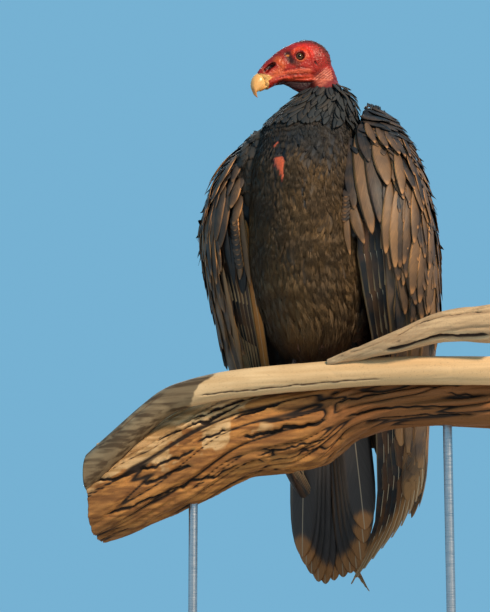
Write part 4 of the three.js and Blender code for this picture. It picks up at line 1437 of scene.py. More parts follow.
    def foot_forms(self) -> list[Form]:
        """The shins and the toes, with pads under the joints."""
        forms = []
        for side in Side:
            spot = np.array([side.value * LEG_SPREAD, 0.0, 0.0])
            heel = np.array([0, FOOT[1], TOE_LEVEL + 1])
            ankle = ANKLE * 0.95 + FOOT * 0.05
            forms.append(pipe(
                np.array([ankle + [0, 4, 5], ankle, ankle * 0.5 + heel * 0.5, heel]) + spot,
                np.array([6.2, 6.4, 5.0, 6.4]), 24,
            ))
            for _, turn, length in TOES:
                angle = math.radians(turn) * side.value
                ahead = np.array([math.sin(angle), -math.cos(angle), 0.0])
                share = np.linspace(0, 1, 9)
                line = spot + [0, FOOT[1], TOE_LEVEL] + ahead * (length * share)[:, None]
                line[:, 2] -= length * 0.12 * share**2
                knuckles = 0.45 * np.cos(share * 6 * np.pi)
                forms.append(pipe(line, 4.7 - 1.1 * share + knuckles, 20))
        return forms

    def painted(self, points: Array) -> Array:
        """The skin's colours: stains, painted highlights and painted shade on the head, a painted shadow under the
        jaw, and dark painted shade under the coat.

        Args:
            points: places in the bird's frame.

        Returns:
            A colour for each.
        """
        local = to_head(points)
        flat = local[:, [0, 2]]
        wander = cloud(local / 3.0, 41, 2) * 0.5
        tint = np.tile(np.array(paint(190, 58, 44)), (len(points), 1))
        for blush_and_shade in BLUSHES_AND_SHADES:
            tint = blush_and_shade.over(flat, tint, wander)
        wrinkle = sum(fold.lift(flat) for fold in WRINKLES) / 1.15
        back = ease(16, 4, local[:, 0]) * ease(-17, -24, local[:, 2])
        # The neck's wrinkle bands follow the folds' height: paler on the ridges, with painted shade in the gaps
        # between them.
        pale, dark = np.array(paint(204, 118, 92)), np.array(paint(104, 30, 22))
        bands = dark + (pale - dark) * np.clip(wrinkle + 0.15 * wander, 0, 1)[:, None]
        tint[:, :3] *= self.deepening
        tint += (bands - tint) * (0.85 * back)[:, None]
        # A near-black painted shadow under the jaw.
        shadow = self.under_jaw(local)[:, None]
        tint += (np.array(paint(24, 6, 6)) - tint) * 0.95 * shadow
        # The throat's lower edge painted back to red, below the painted shadow.
        tint = BlushAndShade(paint(150, 34, 24), 1.8, 0.85, ((36, -34.5), (27, -38.5))).over(flat, tint, wander)
        horn = np.interp(
            local[:, 2], (-28, -25, -21.4, -18.3, -15.5, -13, -10.5, -8),
            (61.4, 60.8, 60.6, 55.4, 59.4, 65.4, 69.4, 72.0),
        )
        shown = ease(-0.4, 0.5, local[:, 0] - horn)
        tint += (np.array(paint(214, 160, 92)) - tint) * shown[:, None]
        ahead = ease(0.1, 0.85, np.cos(np.arctan2(points[:, 1] + 3, points[:, 0] - 10) + 1.85))
        coated = ease(0.8, -0.8, points[:, 2] - 247 + 4.5 * ahead + 3.0 * wander)
        # Near black under the coat: painted shade, so that gaps between the feathers read dark; the legs and the crop
        # patch keep their own colours.
        body = np.tile(np.array(paint(26, 23, 23)), (len(points), 1))
        leg = ease(-30, -40, points[:, 2]) * ease(40, 50, 95 - np.abs(points[:, 0]))
        body += (np.array(paint(176, 138, 124)) - body) * leg[:, None]
        body += (np.array(paint(182, 80, 46)) - body) * self.crop_patch(points)[:, None]
        return tint + (body - tint) * coated[:, None]

    @staticmethod
    def crop_patch(points: Array) -> Array:
        """How far a place is inside the bare skin of the crop, from 0 to 1."""
        front = ease(-40, -60, points[:, 1])
        wander = cloud(points / 6.0, 77, 2) * 1.6
        spots = points[:, [0, 2]]
        low = polyline_gap(spots, ((-18.5, 147.0), (-14.5, 137.0), (-12.5, 121.0)))
        width = np.interp(points[:, 2], (115, 125, 138, 148, 154), (1.0, 3.6, 6.6, 7.4, 1.2))
        spot = polyline_gap(spots, ((-25.0, 164.0), (-22.0, 169.0)))
        return front * np.maximum(ease(width, width - 2.0, low + wander), ease(2.0, 0.8, spot))

    def build(self, wings: dict[Side, WingFace]) -> bpy.types.Object:
        """Joins the three parts of the skin into one piece."""
        head, _ = self.shaped_head()
        points, corners, sizes, normals = self.remade(self.body_forms(wings), self.body_voxel, 4)
        points += normals * (2.4 * self.crop_patch(points))[:, None]
        body = Form(points, corners, sizes)
        foot = Form(*self.remade(self.foot_forms(), self.foot_voxel, 2)[:3])
        parts = []
        for name, form in (("skin_body", body), ("skin_head", head), ("skin_feet", foot)):
            thing = bpy.data.objects.new(name, form.mesh(name))
            bpy.context.scene.collection.objects.link(thing)
            parts.append(thing)
        for other in parts[1:]:
            union = parts[0].modifiers.new("union", "BOOLEAN")
            union.operation = "UNION"
            union.solver = "MANIFOLD"
            union.object = other
        points, corners, sizes, _ = self.read(parts[0])
        if len(points) < len(head.points):
            LOG.warning("the skin's union came out empty, so its parts are only joined")
            joined = Form.joined([body, head, foot])
            points, corners, sizes = joined.points, joined.corners, joined.sizes
        for thing in parts:
            bpy.data.objects.remove(thing)
        form = Form(points, corners, sizes, colours={"skin": self.painted(points)})
        angle = np.arctan2(points[:, 1], points[:, 0]) / (2 * np.pi) + 0.5
        form.maps["OFBake"] = np.stack([angle, (points[:, 2] + 110) / 440], 1)
        made = piece(form, "vulture_skin", Hide("bare_skin").material())
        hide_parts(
            "trunk", "neck", "neck_bare", "head", "thigh_left", "thigh_right",
            "foot_left", "foot_right", "wing_left_arm", "wing_right_arm",
        )
        return made


@dataclass
class Face:
    """The bill, the eyes and the claws, each apart from the skin."""

    sides: int = 36

    def bill(self, table: tuple, name: str, part: str) -> None:
        """One half of the bill, through egg-shaped sections that lean forward.

        Args:
            table: share, forward, top, bottom, half width and lean.
            name: the piece's name.
            part: the node it stands for.
        """
        share = np.linspace(0, 1, 44) ** 0.85
        forward, top, bottom, half, lean = Levels(table).at(share).T
        angle = np.linspace(0, 2 * np.pi, self.sides, endpoint=False)
        high = np.sin(angle)
        level = bottom + (top - bottom) * 0.5
        reach = (top - bottom)[:, None] / 2
        pinch = 1 - 0.22 * np.clip(high, 0, 1) ** 2
        local = np.stack(
            np.broadcast_arrays(
                forward[:, None] + lean[:, None] * high,
                half[:, None] * np.cos(angle) * pinch,
                level[:, None] + reach * high,
            ), 2,
        )
        dull = cloud(local.reshape(-1, 3) / 2.6, 61, 2).reshape(44, self.sides)
        groove = np.exp(-(((local[..., 2] - np.interp(local[..., 0], (60, 70, 80), (-20, -23, -29))) / 0.8) ** 2))
        local[..., 1] -= np.sign(local[..., 1]) * (0.35 * groove * (share[:, None] < 0.75) + 0.12 * dull)
        form = lofted(from_head(local.reshape(-1, 3)).reshape(local.shape))
        form.marks["along"] = np.concatenate([np.repeat(share, self.sides), [0, 1]])
        made = piece(form, name, Horn(name, paint(214, 164, 98), paint(206, 150, 84), paint(176, 112, 52)).material())
        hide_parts(part)

    def eye(self, side: Side) -> None:
        """An eyeball whose iris faces outward and a little forward.

        Args:
            side: which eye.
        """
        around, down = 48, 28
        polar = np.linspace(0, np.pi, down + 2)[1:-1]
        angle = np.linspace(0, 2 * np.pi, around, endpoint=False)
        axis = np.array([0.16, side.value, 0.02])
        axis /= np.linalg.norm(axis)
        first = np.cross(axis, [0, 0, 1.0])
        first /= np.linalg.norm(first)
        second = np.cross(axis, first)
        bulge = 1 + 0.06 * np.exp(-((polar / 0.5) ** 2))
        reach = EYE_RADIUS * bulge
        rings = (
            (reach * np.cos(polar))[:, None, None] * axis
            + (reach * np.sin(polar))[:, None, None]
            * (np.cos(angle)[None, :, None] * first + np.sin(angle)[None, :, None] * second)
        )
        centre = np.array([EYE_CENTRE[0], side.value * (EYE_CENTRE[1] - 0.35), EYE_CENTRE[2]])
        poles = (centre + axis * EYE_RADIUS * 1.06, centre - axis * EYE_RADIUS)
        form = lofted(rings[:, ::-1] + centre, poles)
        form.points = from_head(form.points)
        form.marks["ring"] = np.concatenate([np.repeat(polar, around), [0, np.pi]])
        made = piece(form, f"eyeball_{side.word}", EyeGloss(f"eye_gloss_{side.word}").material())
        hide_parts(f"eye_{side.word}")

    def claws(self) -> None:
        """Eight claws, each a curved taper from its toe's end."""
        finish = Horn("claw_horn", paint(70, 60, 54), paint(40, 36, 34), paint(24, 22, 22)).material()
        for side in Side:
            for name, turn, length in TOES:
                angle = math.radians(turn) * side.value
                ahead = np.array([math.sin(angle), -math.cos(angle), 0.0])
                end = np.array([side.value * LEG_SPREAD, FOOT[1], TOE_LEVEL]) + ahead * length
                end[2] -= length * 0.12
                line = np.array([
                    end - ahead * 1.5, end + ahead * CLAW_LENGTH * 0.5 - [0, 0, CLAW_LENGTH * 0.12],
                    end + ahead * CLAW_LENGTH * 0.8 - [0, 0, CLAW_LENGTH * 0.62],
                ])
                form = pipe(line, np.array([3.0, 2.2, 0.5]), 18)
                way = (form.points - line[0]) @ ahead
                form.marks["along"] = np.clip(way / (CLAW_LENGTH * 0.8), 0, 1)
                made = piece(form, f"talon_{side.word}_{name}", finish)
                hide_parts(f"claw_{side.word}_{name}")

    def build(self) -> None:
        """Makes the bill, eyes and claws."""
        self.bill(BILL_UPPER, "bill_horn_upper", "bill_upper")
        self.bill(BILL_LOWER, "bill_horn_lower", "bill_lower")
        for side in Side:
            self.eye(side)
        self.claws()


# ----------------------------------------------------------------- plumage

CONTOUR = Vane(belly=0.55, point=2.4, blunt=0.5, fringe=0.22, crown=0.9, thick=0.6)
COVERT = Vane(
    belly=0.5, point=1.9, blunt=0.72, tops=7, crown=1.0, thick=0.7,
    rows=(0.03, 0.1, 0.2, 0.32, 0.44, 0.56, 0.67, 0.77, 0.86, 0.93, 0.97),
)
LANCE = Vane(belly=0.5, point=1.7, blunt=0.72, crown=0.9, thick=0.6)
SPIKE = Vane(belly=0.3, point=1.2, blunt=0.95, crown=0.9, thick=0.6, tops=4)
QUILL = Vane(
    belly=0.5, point=4.5, blunt=0.62, tops=9, crown=1.1, thick=0.8,
    rows=(0.02, 0.08, 0.16, 0.26, 0.36, 0.46, 0.56, 0.66, 0.75, 0.83, 0.89, 0.935, 0.965, 0.985, 0.996),
)
PRIMARY = Vane(
    belly=0.3, point=3.2, blunt=0.8, tops=9, crown=1.0, thick=0.8,
    rows=(0.02, 0.08, 0.16, 0.26, 0.36, 0.46, 0.56, 0.66, 0.75, 0.83, 0.89, 0.935, 0.965, 0.985, 0.996),
)
DOWN = Tuft(spread=0.75, stout=0.07)


# Root, tip, width, root height, tip height, tone, warmth and pale edge.
SOFT_FEATHERS = (
    ((5.64, 68), (5.33, 33), 27, -2.5, 2.6, 0.5, 0.75, 0.1),
    ((5.06, 64), (5.1, 31), 25, -2.5, 2.2, 0.55, 0.75, 0.1),
    ((4.48, 89), (4.37, 35), 25, -2.5, 2.4, 0.45, 0.6, 0.1),
    ((4.67, 12), (4.75, -30), 18, -2.5, 3.0, 0.6, 0.95, 0.3),
    ((4.44, -5), (4.26, -39), 15, -2.5, 3.2, 0.6, 1.0, 0.4),
    ((5.71, -8), (5.9, -36), 17, -2.5, 3.0, 0.5, 0.9, 0.3),
    ((4.11, -8), (3.9, -42), 17, -2.5, 3.0, 0.5, 0.9, 0.3),
    ((4.88, 94), (5.03, 73), 11, -1.5, 1.6, 0.75, 0.8, 0.2),
    ((4.1, 116), (4.33, 82), 22, -2.5, 2.0, 0.4, 0.4, 0.0),
    ((5.35, 120), (5.2, 82), 24, -2.5, 1.6, 0.5, 0.7, 0.0),
    ((4.75, 150), (4.8, 112), 24, -2.5, 1.6, 0.5, 0.6, 0.0),
)
# Distance from the trunk's middle at which a barb's sideways step is measured.
BARB_RADIUS = 66.0
# The bulge of breast feathers over the right wing's front edge.
SHOULDER_LEVELS = (
    (96, -64, -30, 5, 10), (112, -63, -36, 12, 19), (140, -62, -34, 19, 22),
    (165, -60, -30, 20, 23), (188, -54, -20, 17, 20), (206, -44, -12, 10, 14),
)


@dataclass
class BodyCoat:
    """Feathers of the trunk, neck and thighs."""

    seed: int = 7
    upper: tuple = ((226, 190, 4.4, 4.8, 13, 6.0, 0.9), (190, 130, 4.8, 5.2, 17, 6.5, 1.0))
    middle: tuple = ((130, 58, 5.0, 5.4, 20, 7.0, 1.1),)
    lower: tuple = (
        (58, 0, 5.4, 5.8, 22, 8.0, 1.6), (0, -60, 6.4, 6.4, 25, 10.0, 3.0),
        (18, 0, 6.0, 7.0, 26, 9.0, 8.0), (0, -12, 6.0, 7.0, 32, 10.0, 16.0), (-12, -34, 6.0, 7.0, 37, 11.0, 28.0),
    )
    surface: Tube = field(default_factory=lambda: Tube(Levels(BODY_LEVELS), 3.4))

    @staticmethod
    def warmth(points: Array) -> Array:
        """Brown low on the body, blue-black at the shoulders, with clouds."""
        low = 1 - 0.82 * ease(128, 176, points[:, 2])
        back = ease(-10, 40, points[:, 1])
        return np.clip(low * (0.78 - 0.3 * back) + 0.3 * cloud(points / 26.0, 3, 2), 0.02, 1)

    @staticmethod
    def shade(points: Array) -> Array:
        """How much darker or lighter than usual: painted shade on the right flank, and cloudy tone."""
        flank = ease(-22, -52, points[:, 0]) * ease(200, 160, points[:, 2])
        # The right flank's darkening is painted shade, on the side away from the key light.
        return 0.22 * cloud(points / 20.0, 13, 2) - 0.3 * flank

    @staticmethod
    def sway(points: Array) -> Array:
        """How far the lie of the down turns from straight down, by soft clouds."""
        return 0.5 * cloud(points / 38.0, 83) + 0.25 * cloud(points / 15.0, 87)

    def contour(self) -> Form:
        """Broad frayed feathers in staggered rows from neck to vent."""
        rng = np.random.default_rng(self.seed)
        forms = []
        for top, bottom, step, gap, length, width in (
            (234, 196, 7.0, 9.0, 20, 13), (196, 120, 10.0, 12.5, 28, 18),
            (120, 30, 12.5, 14.5, 35, 21), (30, -58, 11.0, 14.0, 33, 19),
        ):
            u, v = rows_of(self.surface, top, bottom, step, gap, rng, (0, 2 * np.pi), 0.35)
            here = self.surface.point(u, v)
            keep = Skin.crop_patch(here + np.array([0, 0, -length * 0.6])) < 0.2
            u, v, here = u[keep], v[keep], here[keep]
            n = len(u)
            batch = Batch.rooted(
                self.surface, u, v, rng.normal(0, 0.16, n), length * rng.uniform(0.85, 1.15, n),
                width * rng.uniform(0.85, 1.15, n), rng, low=-2.6,
                high=-1.5 + rng.uniform(-0.4, 0.8, n), uneven=0.05,
                warm=self.warmth(here), shade=self.shade(here), edge=rng.uniform(0, 0.08, n), bend=rng.normal(0, 0.05, n),
                tilt=rng.normal(0, 0.05, n), curl=-0.02,
            )
            forms.append(batch.form(CONTOUR))
        return Form.joined(forms)

    def down(self, parts: tuple) -> Form:
        """Soft barb tufts over the breast, belly and vent.

        Args:
            parts: for each stretch its top, bottom, row step, gap, length,
                width and height.

        Returns:
            One form of all the tufts.
        """
        rng = np.random.default_rng(self.seed + int(parts[0][0]))
        forms = []
        for top, bottom, step, gap, length, width, high in parts:
            u, v = rows_of(self.surface, top, bottom, step, gap, rng, (0, 2 * np.pi), 0.5)
            here = self.surface.point(u, v)
            keep = np.maximum(
                Skin.crop_patch(here + np.array([0, 0, -length * 0.9])),
                Skin.crop_patch(here + np.array([0, 0, -length * 0.4])),
            ) < 0.1
            u, v, here = u[keep], v[keep], here[keep]
            n = len(u)
            batch = Batch.rooted(
                self.surface, u, v, self.sway(here) + rng.normal(0, 0.16, n),
                length * rng.uniform(0.75, 1.25, n),
                width * rng.uniform(0.8, 1.2, n), rng, low=-0.6, high=0.34 * high + rng.uniform(0, 0.3, n),
                shade=self.shade(here), warm=self.warmth(here) * 1.1 + 0.04, bend=rng.normal(0, 0.06, n),
                edge=np.clip(rng.uniform(-0.3, 0.25, n) * ease(70, -10, v) + rng.uniform(0, 0.9, n) * ease(-20, -44, v), 0, 1),
                uneven=0.03,
            )
            forms.append(batch.form(DOWN))
        return Form.joined(forms)

    def soft_shapes(self) -> Form:
        """A few broad loose feathers of the breast and belly, each of many barbs."""
        rng = np.random.default_rng(self.seed + 5)
        given = np.array([[*root, *tip, *rest] for root, tip, *rest in SOFT_FEATHERS], float)
        each = 70
        u, v, tip_u, tip_v, width, _, high, tone, warm, edge = (
            np.repeat(given[:, i], each) for i in range(given.shape[1])
        )
        n = len(u)
        share = rng.uniform(0, 1, n)
        across = rng.uniform(-0.5, 0.5, n)
        reach = across * width * np.sqrt(np.clip(1 - (2 * share - 0.9) ** 2, 0.05, 1)) / BARB_RADIUS
        batch = Batch.rooted(
            self.surface, u + (tip_u - u) * share + reach, v + (tip_v - v) * share * 0.8,
            0.9 * across + rng.normal(0, 0.05, n), rng.uniform(13, 19, n), 5.0, rng, low=-0.8,
            high=0.5 * high + 1.3 * share, shade=1.6 * (tone - 0.42), warm=warm, edge=edge * share, uneven=0.03,
        )
        return batch.form(DOWN)

    def shoulder(self) -> Form:
        """Soft breast feathers that lie over the right wing's front edge."""
        rng = np.random.default_rng(self.seed + 6)
        edge = Tube(Levels(SHOULDER_LEVELS), -0.5)
        forms = []
        for step, gap, length, width, high, blade in ((9.0, 10.0, 24, 15, 0.6, CONTOUR), (4.6, 5.0, 17, 6.5, 1.2, DOWN)):
            u, v = rows_of(edge, 204, 112, step, gap, rng, (2.2, 5.6), 0.5)
            n = len(u)
            here = edge.point(u, v)
            forms.append(Batch.rooted(
                edge, u, v, rng.normal(0, 0.2, n), length * rng.uniform(0.8, 1.2, n), width, rng, low=-1.5,
                high=high, warm=0.7 * self.warmth(here), shade=self.shade(here) + 0.05, edge=0.1, uneven=0.05,
            ).form(blade))
        return Form.joined(forms)

    def ruff(self) -> Form:
        """Pointed feathers round the bare neck, loose at the back."""
        rng = np.random.default_rng(self.seed + 2)
        neck = Tube(Levels(BODY_LEVELS), 2.0)
        forms = []
        for level, count, length, width, high in (
            (251, 38, 18, 6.0, 4.6), (245, 44, 22, 7.0, 4.8), (239, 48, 24, 8.0, 4.2),
            (232, 52, 25, 9.0, 3.4), (225, 56, 26, 9.5, 2.6), (217, 60, 27, 10.0, 1.8),
        ):
            u = np.linspace(0, 2 * np.pi, count, endpoint=False) + rng.uniform(-0.06, 0.06, count)
            front = ease(0.1, 0.85, np.cos(u + 1.85))
            v = level + rng.uniform(-2.5, 2.5, count) - 5.5 * front
            loose = ease(0.2, 0.9, np.cos(u - 0.35))
            batch = Batch.rooted(
                neck, u, v, rng.normal(0, 0.16, count), length * rng.uniform(0.8, 1.2, count),
                width * rng.uniform(0.8, 1.2, count), rng, low=-2.5,
                high=0.7 * high * rng.uniform(0.6, 1.3, count) * (1 - 0.6 * front) + 2.5 * loose,
                warm=np.clip(rng.normal(0.02, 0.12, count), 0, 1), edge=rng.uniform(0, 0.2, count) * loose,
                shade=-0.04, uneven=0.07,
                bend=rng.normal(0, 0.12, count), curl=rng.uniform(-0.15, 0.25, count) * loose,
            )
            forms.append(batch.form(LANCE))
        return Form.joined(forms)

    def thighs(self) -> Form:
        """Feathers down each thigh to the ankle."""
        rng = np.random.default_rng(self.seed + 3)
        forms = []
        for side in Side:
            top, foot = THIGH_TOP.copy(), ANKLE.copy()
            top[0] = foot[0] = side.value * LEG_SPREAD
            limb = Cone(top, foot, (27.0, 8.5))
            u, v = rows_of(limb, 64, 6, 7.0, 8.5, rng, (0, 2 * np.pi), 0.4)
            n = len(u)
            batch = Batch.rooted(
                limb, u, v, rng.normal(0, 0.2, n), 22 * rng.uniform(0.8, 1.2, n), 12.0, rng,
                low=-1.5, high=1.8, warm=np.clip(rng.normal(0.5, 0.15, n), 0, 1), edge=0.2,
            )
            forms.append(batch.form(CONTOUR))
        return Form.joined(forms)

    def build(self) -> None:
        """Makes the coat's pieces."""
        finish = Plumage("body_plumage", roughness=0.6, shaft_strength=0.0).material()
        soft = Plumage(
            "down_plumage", cool=paint(43, 44, 44), warm=paint(94, 70, 42), edge=paint(158, 104, 54),
            roughness=0.65, shaft_strength=0.0, mottle=0.07, barred=0.05,
        ).material()
        for form, name, look in (
            (self.contour(), "coat_body", finish),
            (self.down(self.upper), "coat_down_upper", soft),
            (self.down(self.middle), "coat_down_middle", soft),
            (self.down(self.lower), "coat_down_lower", soft),
            (Form.joined([self.soft_shapes(), self.shoulder()]), "coat_shapes", soft),
            (self.ruff(), "coat_ruff", soft), (self.thighs(), "coat_thighs", finish),
        ):
            piece(form, name, look)


@dataclass(frozen=True)
class Plume:
    """One feather that is given: root, tip, width, height and looks."""

    root: tuple[float, float]
    tip: tuple[float, float]
    width: float
    low: float
    high: float
    tone: float
    warm: float
    edge: float
    tilt: float = 0.08
    bend: float = 0.0


def plumes(surface: Surface, given: list[Plume]) -> Batch:
    """Listed feathers as one batch."""
    column = lambda pick: np.array([pick(p) for p in given], float)
    return Batch(
        surface, column(lambda p: p.root[0]), column(lambda p: p.root[1]),
        column(lambda p: p.tip[0]), column(lambda p: p.tip[1]), column(lambda p: p.width),
        column(lambda p: p.low), column(lambda p: p.high), column(lambda p: p.tilt),
        column(lambda p: p.bend), column(lambda p: p.tone), column(lambda p: p.warm),
        column(lambda p: p.edge), np.zeros(len(given)),
    )


@dataclass
class Wing:
    """One folded wing: coverts in rows, then the long flight feathers."""

    side: Side
    rows: tuple
    placed: tuple
    stack: tuple[float, float, float, float]
    strip: tuple
    clear: tuple[float, float, float]
    top: float
    secondary_tips: tuple[float, float, float, float]
    primary_tips: tuple[float, float]
    primary_u: tuple[float, float]
    secondary_u: tuple[float, float]
    seed: int
    hand_spread: float = 0.36
    hand_tip: float = 0.03
    hand_tone: float = 0.25

    @property
    def levels(self) -> Levels:
        """The wing's table of sections."""
        return Levels(WING_LEFT_LEVELS if self.side is Side.LEFT else WING_RIGHT_LEVELS)

    def flow(self, u: Array, v: Array) -> Array:
        """Turn from straight down: outward at the shoulder, forward below."""
        shoulder = math.radians(40) * ease(self.top - 78, self.top - 12, v)
        lean = -math.radians(9) * ease(0.12, 0.3, u) * (1 - ease(95, 160, v)) * ease(0.9, 0.5, u)
        return shoulder * ease(1.0, 0.55, u) + lean

    def coverts(self) -> Form:
        """Rows of coverts that grow down the wing, each over the next."""
        rng = np.random.default_rng(self.seed)
        face = WingFace(self.levels, self.side, 2.6)
        forms = []
        for top, bottom, step, gap, length, width, edge, high, warm, shade in self.rows:
            u, v = rows_of(face, top, bottom, step, gap, rng, (-0.02, 1.0), 0.25)
            free = ~((u < self.clear[0]) & (v < self.clear[1]) & (v > self.clear[2]))
            u, v = u[free], v[free]
            n = len(u)
            here = face.point(u, v)
            outer = ease(0.02, 0.2, u)
            batch = Batch.rooted(
                face, u, v, self.flow(u, v) + rng.normal(0, 0.09, n),
                length * rng.uniform(0.8, 1.2, n), width * rng.uniform(0.85, 1.15, n), rng,
                low=-2.0, high=high + rng.uniform(-0.3, 0.8, n), tilt=0.1 + rng.uniform(0, 0.08, n),
                warm=np.clip(warm + 0.3 * cloud(here / 24.0, 9) + rng.normal(0, 0.16, n), 0, 1),
                edge=np.clip(edge * outer * rng.uniform(0.3, 1.3, n), 0, 1),
                bend=rng.normal(0, 0.04, n), curl=0.03, shade=shade,
            )
            forms.append(batch.form(LANCE))
        given = [
            Plume((u0, v0), (u1, v1), width, low - 1.2, high, tone, warm, edge, 0.13, float(rng.normal(0.02, 0.02)))
            for u0, v0, u1, v1, width, low, high, tone, warm, edge in self.placed
        ]
        forms.append(plumes(face, given).form(COVERT))
        forms.append(self.front_stack(face, rng).form(COVERT))
        return Form.joined(forms)

    def front_stack(self, face: WingFace, rng: np.random.Generator) -> Batch:
        """A ribbed stack of short coverts along the front edge."""
        top, bottom, step, first = self.stack
        v = np.arange(top, bottom, -step)
        n = len(v)
        return Batch.rooted(
            face, first + 0.004 * np.arange(n) / n, v, np.full(n, -0.1), np.full(n, 13.0), np.full(n, 12.0), rng,
            low=-0.6, high=2.6, warm=rng.uniform(0.2, 0.5, n), edge=rng.uniform(0.8, 1.0, n), tilt=0.05,
            shade=-0.1,
        )

    def loose(self) -> Form:
        """Small black tufts that stand out of the wing's outline."""
        rng = np.random.default_rng(self.seed + 5)
        face = WingFace(self.levels, self.side, 2.0)
        n = 46
        u = rng.uniform(0.36, 0.66, n)
        v = rng.uniform(40, self.top - 12, n)
        batch = Batch.rooted(
            face, u, v, self.flow(u, v) + rng.normal(0, 0.5, n), rng.uniform(9, 15, n),
            rng.uniform(4, 6.5, n), rng, low=-1.0, high=rng.uniform(3.0, 6.0, n),
            warm=rng.uniform(0, 0.2, n), edge=0.0,
        )
        crest_n = 8
        crest_u = rng.uniform(0.02, 0.5, crest_n)
        crest_v = np.full(crest_n, self.top - 5.0) + rng.uniform(-4, 3, crest_n)
        crest = Batch.rooted(
            face, crest_u, crest_v, rng.uniform(1.9, 2.6, crest_n), rng.uniform(6, 10, crest_n),
            rng.uniform(4, 6, crest_n), rng, low=-1.0, high=2.0, warm=0.0, edge=0.0, shade=-0.3,
        )
        return Form.joined([batch.form(SPIKE), crest.form(SPIKE)])

    def flight(self) -> tuple[Form, Form]:
        """The secondaries, and the primaries under them.

        Returns:
            Two forms of long feathers, each laid over the one before it.
        """
        rng = np.random.default_rng(self.seed + 9)
        count = 18
        share = np.linspace(0, 1, count)
        face = WingFace(self.levels, self.side, 3.0)
        first, last = self.secondary_u
        u = first + (last - first) * share
        ends = np.interp(share, (0, 0.35, 0.7, 1), self.secondary_tips) + rng.uniform(-7, 7, count)
        secondaries = [
            Plume(
                (float(u[i]) + 0.02, 62.0), (float(u[i]) - 0.01, float(ends[i])),
                23.0, -3.0 + 0.5 * (i % 2), 0.2, float(rng.uniform(0.35, 0.75)), float(rng.uniform(0.25, 0.75)),
                0.9 if i < 13 else 0.5, 0.12, float(rng.normal(0, 0.012)),
            )
            for i in range(count)
        ]
        deep = WingFace(self.levels, self.side, 2.5, 8.0)
        count = 10
        share = np.linspace(0, 1, count)
        first, last = self.primary_u
        primaries = [
            Plume(
                (first + (last - first) * float(s), 112.0),
                (self.hand_tip + self.hand_spread * float(s), self.primary_tips[0] + (self.primary_tips[1] - self.primary_tips[0]) * float(s) ** 1.2),
                19.0, -3.2 + 3.0 * float(s), -2.4 + 3.4 * float(s), self.hand_tone + float(rng.uniform(0.0, 0.25)),
                float(rng.uniform(0.0, 0.35)), 0.8, 0.05,
            )
            for s in share
        ]
        # The strip is a bright warm feather along the wing's front edge: painted light.
        if self.strip:
            primaries.append(Plume(*self.strip, 11.0, -0.6, -1.0, 0.95, 1.0, 1.0, 0.05))
        return plumes(face, secondaries).form(QUILL), plumes(deep, primaries).form(PRIMARY)

    def build(self) -> None:
        """Makes the wing's pieces."""
        word = self.side.word
        covert = Plumage(
            f"covert_plumage_{word}", cool=paint(36, 36, 38), warm=paint(110, 80, 52),
            edge=paint(204, 142, 86), shaft_strength=0.1, roughness=0.5, front=0.55,
        ).material()
        quill = Plumage(
            f"quill_plumage_{word}", cool=paint(38, 40, 45), warm=paint(110, 84, 58),
            edge=paint(196, 142, 90), shaft=paint(150, 130, 104), shaft_strength=0.5, fineness=3.0,
            roughness=0.42, front=0.5, worn=0.6, start=0.92,
        ).material()
        hand = Plumage(
            f"hand_plumage_{word}", cool=paint(36, 38, 41), warm=paint(156, 100, 48),
            edge=paint(206, 172, 128), shaft=paint(196, 178, 150), shaft_strength=0.9, fineness=3.0,
            roughness=0.42, worn=0.95, start=0.91, mottle=0.1, front=0.6,
        ).material()
        long, under = self.flight()
        for form, name, look, slot, part in (
            (self.coverts(), f"coat_wing_{word}", covert, "body_feathers", None),
            (self.loose(), f"coat_tufts_{word}", covert, "body_feathers", None),
            (long, f"quills_{word}_secondary", quill, "flight_feathers", f"wing_{word}_secondaries"),
            (under, f"quills_{word}_primary", hand, "flight_feathers", f"wing_{word}_primaries"),
        ):
            made = piece(form, name, look)
            if part:
                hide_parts(part)


